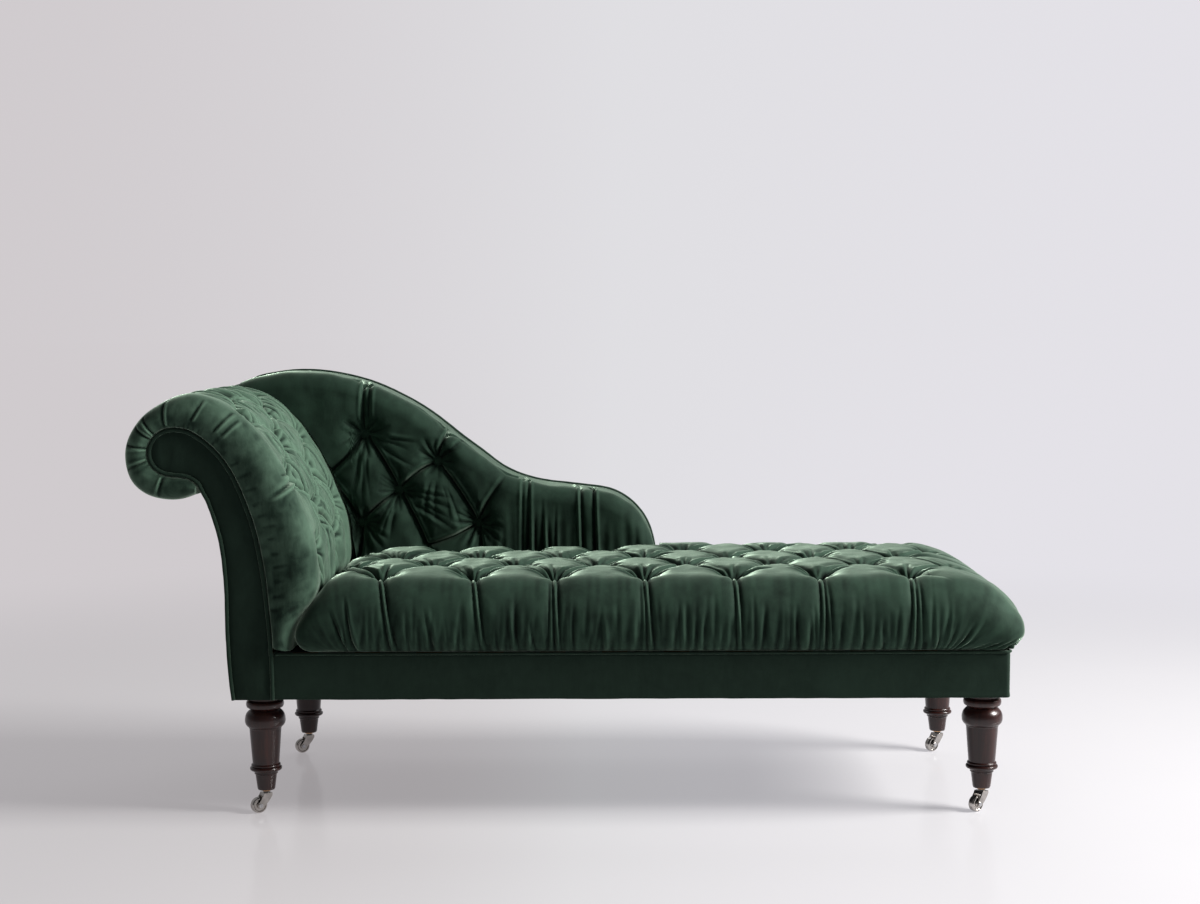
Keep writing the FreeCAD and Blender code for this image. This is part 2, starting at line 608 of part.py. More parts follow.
def rear_face(body):
    a, b, c = rear_runs(Dims.piping_r + 1.5)
    return curve_sketch(body, "outside_back_sketch", [a, b, [b[-1], c[0]], c, [c[-1], a[0]]])


node(pad_xz("outside_back", rear_face, "Dims.half_depth - Dims.skin + 0.2", "Dims.half_depth + 1"), "outside_back_cover")
a, b, c = rear_runs(0.0)
path = thin(a, 26) + thin(b, 15)[1:] + thin(c, 24)
tube("outside_back_piping", [[V(x, Dims.half_depth + 1.5, z) for x, z in path]], Dims.piping_r)

# ---- velvet band on the seat rails, and its piping ----------------------------------------------------------------
band_out = box("band_out", "Dims.rail_left + 82", "-Dims.half_depth", "Dims.rail_low", "Dims.rail_right - Dims.rail_left - 82", "2*Dims.half_depth", "Dims.rail_top - Dims.rail_low - 5")
band_fillet = doc.addObject("Part::Fillet", "band_fillet")
band_fillet.Base = band_out
doc.recompute()
ends = [(i + 1, 9.0, 9.0) for i, e in enumerate(band_out.Shape.Edges)
        if abs(e.tangentAt(e.FirstParameter).z) > 0.9 and e.CenterOfMass.x > 800]
band_fillet.Edges = ends
band_in = box("band_in", "Dims.rail_left - 50", "-(Dims.half_depth - Dims.skin + 0.2)", "Dims.rail_low - 10", "Dims.rail_right - Dims.rail_left + 50 - Dims.skin + 0.2", "2*(Dims.half_depth - Dims.skin + 0.2)", "200")
band_a = boolean("Cut", "band_a", band_fillet, band_in)
band_rear = box("band_rear", "Dims.rail_left - 50", "0", "Dims.rail_low - 10", "Dims.back_end + 6 - Dims.rail_left + 50", "Dims.half_depth + 30", "200")
node(boolean("Cut", "band_b", band_a, band_rear), "rail_band")
zt = Dims.rail_top - 5 + Dims.rail_piping_r + 0.2
pr = Dims.rail_piping_r
xf, xr_, yy = Dims.rail_left + 84, Dims.rail_right - Dims.skin + pr + 0.3, Dims.half_depth - Dims.skin + pr + 0.3
turn = 5.8
tube("rail_piping", [[V(xf, -yy, zt), V(xr_ - turn, -yy, zt), V(xr_, -yy + turn, zt), V(xr_, yy - turn, zt), V(xr_ - turn, yy, zt), V(Dims.back_end + 10, yy, zt)]], pr)


# ---- seat pad -----------------------------------------------------------------------------------------------------
def arc_pts(cx, cz, r, a0, a1, n):
    return [(cx + r * math.cos(math.radians(a0 + (a1 - a0) * i / n)), cz + r * math.sin(math.radians(a0 + (a1 - a0) * i / n))) for i in range(n + 1)]


def long_profile(body, d, name, ext=0.0):
    """Side view of the seat pad: square under the head rest, full and rounded at the foot end."""
    x0, x1, z0, z1 = Dims.seat_left + d, Dims.seat_right - d, Dims.seat_low + d * 0.4, Dims.seat_top - d
    high = Dims.seat_top - Dims.seat_low
    end = [(x1 - back, z0 + up * (z1 - z0) / high) for back, up in ((22, 0), (9, 14), (0, 44), (6, 78), (28, 112), (68, 139), (125, high - 2.5), (190, high))]
    left = [(x0 + 62, z1), (x0 + 54, 455), (x0 + 50, 436), (x0 + 14, 392), (x0 + 2, 365), (x0, z0)]
    runs = [end, [end[-1], left[0]], [left[0], left[2]], [left[2], left[3]], [left[3], left[5]]]
    if ext:
        a_, b_ = (left[5][0], z0 - ext), (end[0][0], z0 - ext)
        runs += [[left[5], a_], [a_, b_], [b_, end[0]]]
    else:
        runs += [[left[5], end[0]]]
    return curve_sketch(body, name, runs)


def cross_profile(body, d, name, ext=0.0):
    """End view of the seat pad: bulging front and rear, rounded over to the crown."""
    z0, z1, w = Dims.seat_low + d * 0.4, Dims.seat_top - d, Dims.half_depth + Dims.seat_over - d
    high = Dims.seat_top - Dims.seat_low
    right = [(w - back, z0 + up * (z1 - z0) / high) for back, up in ((20, 0), (7, 15), (0, 45), (6, 80), (28, 115), (62, 141), (110, high - 2.0), (150, high))]
    sk = body.newObject("Sketcher::SketchObject", name)
    sk.AttachmentSupport = [(plane(body, "YZ_Plane"), "")]
    sk.MapMode = "FlatFace"
    runs = [right, [right[-1], (-right[-1][0], z1)], [(-a, b) for a, b in reversed(right)]]
    if ext:
        a_, b_ = (-right[0][0], z0 - ext), (right[0][0], z0 - ext)
        runs += [[(-right[0][0], z0), a_], [a_, b_], [b_, right[0]]]
    else:
        runs += [[(-right[0][0], z0), right[0]]]
    for pts in runs:
        vs = [V(x, z, 0) for x, z in pts]
        if len(vs) == 2:
            sk.addGeometry(Part.LineSegment(vs[0], vs[1]), False)
        else:
            c = Part.BSplineCurve()
            c.interpolate(vs)
            sk.addGeometry(c, False)
    for i in range(len(runs)):
        sk.addConstraint(Sketcher.Constraint("Block", i))
    return sk


def seat_form(name, d, ext=0.0):
    a = pad_xz(name + "_side", lambda b: long_profile(b, d, name + "_side_sketch", ext), "-(Dims.half_depth + 60)", "Dims.half_depth + 60")
    b = doc.addObject("PartDesign::Body", name + "_end")
    sk = cross_profile(b, d, name + "_end_sketch", ext)
    p = b.newObject("PartDesign::Pad", name + "_end_pad")
    p.Profile = sk
    p.setExpression("Length", "Dims.seat_right + 700")
    sk.setExpression(".AttachmentOffset.Base.z", "-650")
    b.Tip = p
    both = boolean("Common", name + "_common", a, b)
    # rounded corners at the foot end, seen from above
    plan = doc.addObject("PartDesign::Body", name + "_plan")
    w, x1, r = Dims.half_depth + Dims.seat_over - d, Dims.seat_right - d, 62.0
    sk = plan.newObject("Sketcher::SketchObject", name + "_plan_sketch")
    sk.AttachmentSupport = [(plane(plan, "XY_Plane"), "")]
    sk.MapMode = "FlatFace"
    k = r * (1 - math.sqrt(0.5))
    geo = [Part.LineSegment(V(-800, -w - 5, 0), V(x1 - r, -w - 5, 0)), Part.LineSegment(V(x1 - r, -w - 5, 0), V(x1 - r, -w, 0)),
           Part.Arc(V(x1 - r, -w, 0), V(x1 - k, -w + k, 0), V(x1, -w + r, 0)), Part.LineSegment(V(x1, -w + r, 0), V(x1, w - r, 0)),
           Part.Arc(V(x1, w - r, 0), V(x1 - k, w - k, 0), V(x1 - r, w, 0)), Part.LineSegment(V(x1 - r, w, 0), V(x1 - r, w + 5, 0)),
           Part.LineSegment(V(x1 - r, w + 5, 0), V(-800, w + 5, 0)), Part.LineSegment(V(-800, w + 5, 0), V(-800, -w - 5, 0))]
    for g in geo:
        sk.addGeometry(g, False)
    for i in range(len(geo)):
        sk.addConstraint(Sketcher.Constraint("Block", i))
    p = plan.newObject("PartDesign::Pad", name + "_plan_pad")
    p.Profile = sk
    p.setExpression("Length", "400")
    sk.setExpression(".AttachmentOffset.Base.z", "Dims.seat_low - 100")
    plan.Tip = p
    both = boolean("Common", name + "_common2", both, plan)
    # where the shaped back stands
    notch = box(name + "_notch", "-800", "Dims.back_face - Dims.gap - %g" % d, "Dims.seat_low - 50", "800 + Dims.back_end + Dims.piping_r + 1.4 + %g" % d, "400", "400")
    return boolean("Cut", name + "_form", both, notch)


SEAT_ROWS = [(-240, 0, 7, 452), (-115, 1, 8, 453), (10, 0, 7, 453), (135, 1, 8, 453), (260, 0, 7, 453)]
seat_places = []
for y, odd, n, zz in SEAT_ROWS:
    for i in range(n):
        x = -393 + 176.4 * i if not odd else -481 + 176.4 * i
        if odd and i == 7:
            x = 766.0
        if y == 260 and x < 250:
            continue
        seat_places.append((V(x, y, Dims.seat_top), V(0, 0, 1)))
for nm, d, ext in (("seat_outer", 0.0, 0.0), ("seat_inner", 4.4, 0.0), ("seat_lining", 3.0, 12.0)):
    form = seat_form(nm, d, ext)
    w = wells(seat_places, Dims.well_r + d, Dims.button_r + 1.5 + d, Dims.well_deep, nm + "_wells", d)
    FORMS[nm] = boolean("Cut", nm + "_cut", form, w)
node(FORMS["seat_inner"], "seat_foam")
# the cover has no bottom: it is open under the foam
node(boolean("Cut", "seat_cover_shell", FORMS["seat_outer"], FORMS["seat_lining"]), "seat_cover")
buttons(seat_places, Dims.well_deep, "seat_buttons")


# ---- legs ---------------------------------------------------------------------------------------------------------
LEG = [("cap_top", 31, 236.3), ("cap_neck", 31, 229), ("disc_hi", 36.4, 225), ("disc_mid", 37.6, 219.5), ("disc_lo", 35.6, 213.5), ("neck", 28.2, 209.0),
       ("bulb_a", 33.2, 205.5), ("bulb_b", 37.6, 200), ("bulb_c", 40.0, 192), ("bulb_d", 40.2, 185), ("bulb_e", 37.6, 177.5), ("bulb_f", 32.6, 173.2),
       ("fillet_a", 32.6, 171.6), ("shaft_top", 31.6, 170.2), ("shaft_mid", 29.2, 136), ("shaft_low", 26.4, 99.5), ("ring_a", 28.6, 98), ("ring_b", 29.2, 95.4), ("ring_c", 27.8, 93.4),
       ("ring_d", 31.2, 91.6), ("ring_e", 31.8, 88.6), ("ring_f", 29.4, 85.6), ("ring_g", 24.2, 83.2), ("bead_a", 23.2, 81.4), ("bead_b", 23.4, 79.0), ("bead_c", 21.6, 77.6),
       ("toe_top", 21.2, 76.4), ("toe_low", 17.8, 49.4), ("toe_edge", 16.6, 46.2)]
for nm, r, z in LEG:
    cell("leg_r_" + nm, r)
    cell("leg_z_" + nm, z)
doc.recompute()
SMOOTH = {"disc_hi": "disc_lo", "neck": "bulb_f"}


def turned_leg(name, lx, ly):
    body = doc.addObject("PartDesign::Body", name)
    sk = body.newObject("Sketcher::SketchObject", name + "_sketch")
    sk.AttachmentSupport = [(plane(body, "XZ_Plane"), "")]
    sk.MapMode = "FlatFace"
    pt = {nm: V(getattr(Dims, "leg_r_" + nm), getattr(Dims, "leg_z_" + nm), 0) for nm, _, _ in LEG}
    names = [nm for nm, _, _ in LEG]
    groups = [["cap_top", "cap_neck"], ["cap_neck", "disc_hi"], ["disc_hi", "disc_mid", "disc_lo"], ["disc_lo", "neck"],
              ["neck", "bulb_a", "bulb_b", "bulb_c", "bulb_d", "bulb_e", "bulb_f"], ["bulb_f", "fillet_a"], ["fillet_a", "shaft_top"],
              ["shaft_top", "shaft_mid", "shaft_low"], ["shaft_low", "ring_a"], ["ring_a", "ring_b", "ring_c"], ["ring_c", "ring_d"],
              ["ring_d", "ring_e", "ring_f"], ["ring_f", "ring_g"], ["ring_g", "bead_a"], ["bead_a", "bead_b"], ["bead_b", "bead_c"], ["bead_c", "toe_top"],
              ["toe_top", "toe_low"], ["toe_low", "toe_edge"]]
    count = 0
    for g in groups:
        vs = [pt[k] for k in g]
        if len(vs) == 2:
            sk.addGeometry(Part.LineSegment(vs[0], vs[1]), False)
        elif len(vs) == 3:
            sk.addGeometry(Part.Arc(vs[0], vs[1], vs[2]), False)
        else:
            c = Part.BSplineCurve()
            c.interpolate(vs)
            sk.addGeometry(c, False)
        count += 1
    # foot, bore for the castor's sleeve, solid middle, bore for the bolt, top
    sr, sd, br = Dims.socket_r, Dims.socket_deep, Dims.bolt_r
    low, top = Dims.leg_low, pt["cap_top"].y
    inside = [V(sr, low, 0), V(sr, low + sd, 0), V(0, low + sd, 0), V(0, top - 46, 0), V(br, top - 46, 0), V(br, top, 0)]
    path = [pt["toe_edge"]] + inside + [pt["cap_top"]]
    for a_, b_ in zip(path, path[1:]):
        sk.addGeometry(Part.LineSegment(a_, b_), False)
        count += 1
    for i in range(count):
        sk.addConstraint(Sketcher.Constraint("Block", i))
    rev = body.newObject("PartDesign::Revolution", name + "_turn")
    rev.Profile = sk
    rev.ReferenceAxis = (sk, ["V_Axis"])
    rev.Angle = 360
    body.Tip = rev
    bind(body, x=lx, y=ly)
    return node(body, name)


for k, (lx, ly, sx, sy) in LEGS.items():
    turned_leg("leg_" + k, lx, ly)
node(several("bolts", [cylinder("bolt_" + k, lx, ly, "Dims.leg_z_cap_top - 45", "Dims.bolt_r", "45 + Dims.block_high + 14") for k, (lx, ly, sx, sy) in LEGS.items()]), "leg_bolts")
nuts = []
for k, (lx, ly, sx, sy) in LEGS.items():
    hexa = bind(doc.addObject("Part::Prism", "nut_form_" + k), x=lx, y=ly, z="Dims.rail_low + 1.5 + Dims.block_high + 0.1", Circumradius="7.5", Height="6.5")
    hexa.Polygon = 6
    nuts.append(boolean("Cut", "nut_" + k, hexa, cylinder("nut_bore_" + k, lx, ly, "Dims.rail_low", "Dims.bolt_r + 0.05", "100")))
node(several("nuts", nuts), "leg_nuts")


# ---- castors ------------------------------------------------------------------------------------------------------
TURN = {"front_head": 34.0, "front_foot": 40.0, "back_head": 28.0, "back_foot": 36.0}
for k, v in TURN.items():
    cell("castor_turn_" + k, v, "how far the castor is swung from pointing at the head end, towards the front")
doc.recompute()


def placed(obj, k, name):
    lx, ly, sx, sy = LEGS[k]
    obj.Placement = FreeCAD.Placement(V(value(lx), value(ly), 0), FreeCAD.Rotation(V(0, 0, 1), getattr(Dims, "castor_turn_" + k)))
    bind(obj, x=lx, y=ly)
    return node(obj, name)


for k in LEGS:
    t = "_" + k
    # sleeve pressed into the leg, with a flange under it
    sock = boolean("Fuse", "sock_a" + t, cylinder("sock_flange" + t, 0, 0, "Dims.leg_low - Dims.flange_thick", "Dims.flange_r", "Dims.flange_thick"), cylinder("sock_tube" + t, 0, 0, "Dims.leg_low", "Dims.socket_r", "Dims.socket_deep - 0.5"))
    sock = boolean("Cut", "sock_b" + t, sock, cylinder("sock_bore" + t, 0, 0, "Dims.leg_low - 10", "Dims.socket_bore", "Dims.socket_deep + 20"))
    placed(sock, k, "castor_socket" + t)
    # horn: stem, boss and two cheeks that hold the axle
    stem = cylinder("horn_stem" + t, 0, 0, "Dims.horn_top - 1", "Dims.stem_r", "34")
    boss = doc.addObject("Part::Cone", "horn_boss" + t)
    bind(boss, z="Dims.horn_top - 7", Radius1="8.8", Radius2="7.2", Height="7")
    cheeks = doc.addObject("PartDesign::Body", "cheeks" + t)
    sk = polygon(cheeks, "cheek_sketch" + t, "XZ_Plane", [
        (8.4, "Dims.horn_top - 4"), (8.2, "Dims.horn_top - 9"), (4.6, "Dims.horn_top - 15"), (-2.0, "Dims.wheel_r + 4.5"), ("-Dims.trail + 6", "Dims.wheel_r - 3.2"), ("-Dims.trail + 3.2", "Dims.wheel_r - 5.6"),
        ("-Dims.trail - 2", "Dims.wheel_r - 6"), ("-Dims.trail - 5.4", "Dims.wheel_r - 3"), ("-Dims.trail - 6", "Dims.wheel_r + 1.5"), ("-Dims.trail - 3", "Dims.wheel_r + 6"), (-11.0, "Dims.horn_top - 9"), (-8.4, "Dims.horn_top - 4")])
    sk.setExpression(".AttachmentOffset.Base.z", "-(Dims.cheek_in + Dims.cheek_thick)")
    pd = cheeks.newObject("PartDesign::Pad", "cheek_pad" + t)
    pd.Profile = sk
    pd.setExpression("Length", "2*(Dims.cheek_in + Dims.cheek_thick)")
    cheeks.Tip = pd
    # the wheel's room between the cheeks, round over the wheel
    room = doc.addObject("Part::Cylinder", "horn_room" + t)
    room.Placement = FreeCAD.Placement(V(0, 0, 0), FreeCAD.Rotation(V(1, 0, 0), -90))
    bind(room, x="-Dims.trail", y="-Dims.cheek_in", z="Dims.wheel_r", Radius="Dims.wheel_r + 3.2", Height="2*Dims.cheek_in")
    low_room = box("horn_low_room" + t, "-60", "-Dims.cheek_in", "-20", "56", "2*Dims.cheek_in", "Dims.wheel_r + 22")
    cheeks2 = boolean("Cut", "cheeks_a" + t, cheeks, room)
    cheeks2 = boolean("Cut", "cheeks_b" + t, cheeks2, low_room)
    pin_hole = doc.addObject("Part::Cylinder", "pin_hole" + t)
    pin_hole.Placement = FreeCAD.Placement(V(0, 0, 0), FreeCAD.Rotation(V(1, 0, 0), -90))
    bind(pin_hole, x="-Dims.trail", y="-30", z="Dims.wheel_r", Radius="Dims.axle_r + 0.02", Height="60")
    cheeks2 = boolean("Cut", "cheeks_c" + t, cheeks2, pin_hole)
    horn = doc.addObject("Part::MultiFuse", "horn" + t)
    horn.Shapes = [stem, boss, cheeks2]
    placed(horn, k, "castor_horn" + t)
    # axle with a riveted head at each end
    parts = []
    for nm, r, y, h in (("pin", "Dims.axle_r", "-(Dims.cheek_in + Dims.cheek_thick + 1)", "2*(Dims.cheek_in + Dims.cheek_thick + 1)"),
                        ("head_a", "4.1", "-(Dims.cheek_in + Dims.cheek_thick + 1.6)", "1.5"), ("head_b", "4.1", "Dims.cheek_in + Dims.cheek_thick + 0.1", "1.5")):
        c = doc.addObject("Part::Cylinder", "axle_%s%s" % (nm, t))
        c.Placement = FreeCAD.Placement(V(0, 0, 0), FreeCAD.Rotation(V(1, 0, 0), -90))
        bind(c, x="-Dims.trail", y=y, z="Dims.wheel_r", Radius=r, Height=h)
        parts.append(c)
    axle = doc.addObject("Part::MultiFuse", "axle" + t)
    axle.Shapes = parts
    placed(axle, k, "castor_axle" + t)
    # wheel: rounded tread, dished sides, hub
    wheel = doc.addObject("PartDesign::Body", "wheel" + t)
    sk = polygon(wheel, "wheel_sketch" + t, "XY_Plane", [
        ("Dims.axle_bore", "-Dims.wheel_half"), (5.6, "-Dims.wheel_half"), (6.6, "-(Dims.wheel_half - 1.8)"), (11.2, "-(Dims.wheel_half - 1.8)"), (12.6, "-Dims.wheel_half + 0.4"), ("Dims.wheel_r - 2.0", "-Dims.wheel_half + 0.4"),
        ("Dims.wheel_r - 0.6", "-(Dims.wheel_half - 1.9)"), ("Dims.wheel_r", "-(Dims.wheel_half - 4)"), ("Dims.wheel_r", "Dims.wheel_half - 4"), ("Dims.wheel_r - 0.6", "Dims.wheel_half - 1.9"), ("Dims.wheel_r - 2.0", "Dims.wheel_half - 0.4"),
        (12.6, "Dims.wheel_half - 0.4"), (11.2, "Dims.wheel_half - 1.8"), (6.6, "Dims.wheel_half - 1.8"), (5.6, "Dims.wheel_half"), ("Dims.axle_bore", "Dims.wheel_half")])
    rev = wheel.newObject("PartDesign::Revolution", "wheel_turn" + t)
    rev.Profile = sk
    rev.ReferenceAxis = (sk, ["V_Axis"])
    rev.Angle = 360
    wheel.Tip = rev
    lx, ly, sx, sy = LEGS[k]
    ang = math.radians(getattr(Dims, "castor_turn_" + k))
    wheel.Placement = FreeCAD.Placement(V(value(lx) - Dims.trail * math.cos(ang), value(ly) - Dims.trail * math.sin(ang), Dims.wheel_r), FreeCAD.Rotation(V(0, 0, 1), math.degrees(ang)))
    node(wheel, "castor_wheel" + t)

# ---- recompute, test, write ---------------------------------------------------------------------------------------
doc.recompute()
bad = [o.Name for o in doc.Objects if "Invalid" in o.State or "Error" in o.State]
assert not bad, bad
os.makedirs("parts", exist_ok=True)
for old in os.listdir("parts"):
    if old.endswith(".step") and old[:-5] not in NODES:
        os.remove(os.path.join("parts", old))
total = 0.0
for name, obj in NODES.items():
    shape = obj.Shape
    assert not shape.isNull() and shape.isValid(), name
    solids = shape.Solids
    assert solids and all(s.Volume > 0 for s in solids), name
    out = solids[0] if len(solids) == 1 else Part.makeCompound(solids)
    out.exportStep("parts/%s.step" % name)
    total += out.Volume
    b = out.BoundBox
    print("%-26s solids %2d volume %10.1f cm3  x %.1f..%.1f y %.1f..%.1f z %.1f..%.1f" % (name, len(solids), out.Volume / 1000, b.XMin, b.XMax, b.YMin, b.YMax, b.ZMin, b.ZMax))
print("nodes", len(NODES))
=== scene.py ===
import json
import math

import bpy
import numpy as np
from mathutils import Matrix, Vector
from mathutils.geometry import delaunay_2d_cdt


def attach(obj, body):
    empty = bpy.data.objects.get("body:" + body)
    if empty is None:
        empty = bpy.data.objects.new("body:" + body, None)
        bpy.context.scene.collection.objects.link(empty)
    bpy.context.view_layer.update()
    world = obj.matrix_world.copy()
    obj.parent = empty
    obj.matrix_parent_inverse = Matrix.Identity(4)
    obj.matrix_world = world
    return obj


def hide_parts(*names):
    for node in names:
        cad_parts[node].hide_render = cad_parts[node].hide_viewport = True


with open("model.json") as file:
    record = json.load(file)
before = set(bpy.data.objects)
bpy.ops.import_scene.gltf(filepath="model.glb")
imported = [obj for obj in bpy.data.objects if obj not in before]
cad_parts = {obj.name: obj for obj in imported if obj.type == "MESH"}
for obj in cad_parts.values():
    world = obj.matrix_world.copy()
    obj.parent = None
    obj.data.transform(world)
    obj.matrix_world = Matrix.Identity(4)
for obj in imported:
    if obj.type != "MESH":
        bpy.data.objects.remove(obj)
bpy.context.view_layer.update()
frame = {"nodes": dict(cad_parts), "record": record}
NODES = frame["nodes"]
rng = np.random.default_rng(7)


# =====================================================================================================================
# small tools
# =====================================================================================================================
def natural(pts, step=None, n=None):
    """Evenly spaced points on a natural cubic spline through pts."""
    p = np.array(pts, float)
    d = np.r_[0, np.cumsum(np.linalg.norm(np.diff(p, axis=0), axis=1))]
    m = len(d)
    h = np.diff(d)
    a = np.zeros((m, m))
    b = np.zeros((m, p.shape[1]))
    a[0, 0] = a[-1, -1] = 1
    for i in range(1, m - 1):
        a[i, i - 1], a[i, i], a[i, i + 1] = h[i - 1], 2 * (h[i - 1] + h[i]), h[i]
        b[i] = 6 * ((p[i + 1] - p[i]) / h[i] - (p[i] - p[i - 1]) / h[i - 1])
    k = np.linalg.solve(a, b)

    def at(t):
        i = np.clip(np.searchsorted(d, t, side="right") - 1, 0, m - 2)
        x = (t - d[i])[:, None]
        hi = h[i][:, None]
        r = hi - x
        return (k[i] * r**3 + k[i + 1] * x**3) / (6 * hi) + (p[i] / hi - k[i] * hi / 6) * r + (p[i + 1] / hi - k[i + 1] * hi / 6) * x

    q = at(np.linspace(0, d[-1], m * 60))
    s = np.r_[0, np.cumsum(np.linalg.norm(np.diff(q, axis=0), axis=1))]
    if n is None:
        n = max(3, int(round(s[-1] / step)) + 1)
    t = np.linspace(0, s[-1], n)
    return np.stack([np.interp(t, s, q[:, c]) for c in range(q.shape[1])], 1)


def arc(p):
    return np.r_[0, np.cumsum(np.linalg.norm(np.diff(p, axis=0), axis=1))]


def step_up(a, b, x):
    t = np.clip((x - a) / (b - a), 0, 1)
    return t * t * (3 - 2 * t)


def soft_noise(x, y, size, seed):
    """Smooth value noise over a plane, about -1 to 1, with features of the given size."""
    g = np.random.default_rng(seed).uniform(-1, 1, (256, 256))
    u, v = x / size + 1000, y / size + 1000
    i, j = np.floor(u).astype(int), np.floor(v).astype(int)
    fu, fv = u - i, v - j
    fu, fv = fu * fu * fu * (fu * (fu * 6 - 15) + 10), fv * fv * fv * (fv * (fv * 6 - 15) + 10)
    i, j = i % 256, j % 256
    i1, j1 = (i + 1) % 256, (j + 1) % 256
    return (g[i, j] * (1 - fu) + g[i1, j] * fu) * (1 - fv) + (g[i, j1] * (1 - fu) + g[i1, j1] * fu) * fv


def folds(x, y, width, seed, sharp=1.6):
    """Soft ridges across x that wander slowly along y. 0 in the valleys, 1 on the ridges."""
    w = x + 0.35 * width * soft_noise(x, y, width * 4.5, seed + 1) * 2
    a = np.abs(soft_noise(w, y * 0.10, width, seed))
    return (1 - np.clip(a * 1.5, 0, 1)) ** sharp


def grid_normals(p):
    du = np.gradient(p, axis=0)
    dv = np.gradient(p, axis=1)
    n = np.cross(du, dv)
    return n / (np.linalg.norm(n, axis=2, keepdims=True) + 1e-12)


def link(name, mesh):
    o = bpy.data.objects.new(name, mesh)
    bpy.context.scene.collection.objects.link(o)
    return o


def mesh_from(name, verts, faces, smooth=True):
    me = bpy.data.meshes.new(name)
    me.from_pydata([tuple(v) for v in np.asarray(verts, float)], [], [tuple(int(i) for i in f) for f in faces])
    me.validate()
    me.update()
    if smooth:
        me.polygons.foreach_set("use_smooth", [True] * len(me.polygons))
    return link(name, me)


def quads(n, m, at=0, close_u=False, close_v=False, flip=False):
    i, j = np.meshgrid(np.arange(n if close_u else n - 1), np.arange(m if close_v else m - 1), indexing="ij")
    a = i * m + j
    b = ((i + 1) % n) * m + j
    c = ((i + 1) % n) * m + (j + 1) % m
    d = i * m + (j + 1) % m
    f = np.stack([a, b, c, d], -1).reshape(-1, 4) + at
    return f[:, ::-1] if flip else f


def fast_mesh(name, verts, faces):
    verts = np.ascontiguousarray(verts, dtype=np.float32)
    faces = np.ascontiguousarray(faces, dtype=np.int32)
    me = bpy.data.meshes.new(name)
    me.vertices.add(len(verts))
    me.vertices.foreach_set("co", verts.ravel())
    me.loops.add(faces.size)
    me.loops.foreach_set("vertex_index", faces.ravel())
    me.polygons.add(len(faces))
    me.polygons.foreach_set("loop_start", np.arange(0, faces.size, 4, dtype=np.int32))
    me.polygons.foreach_set("use_smooth", np.ones(len(faces), dtype=bool))
    me.update(calc_edges=True)
    me.validate()
    return link(name, me)


def paint(obj, name, values):
    """A float attribute per vertex that the velvet reads: the pile's tone, with painted shade in the creases and
    hollows and painted highlights on the ridges and lit parts.
    """
    a = obj.data.attributes.new(name, "FLOAT", "POINT")
    v = np.ones(len(obj.data.vertices), dtype=np.float32) * 0.5
    flat = np.asarray(values, dtype=np.float32).ravel()
    v[: len(flat)] = flat
    a.data.foreach_set("value", v)


# ---- upholstery -------------------------------------------------------------------------------------------------------
FOLD_WIDE, FOLD_DEEP = 1.25, 1.35


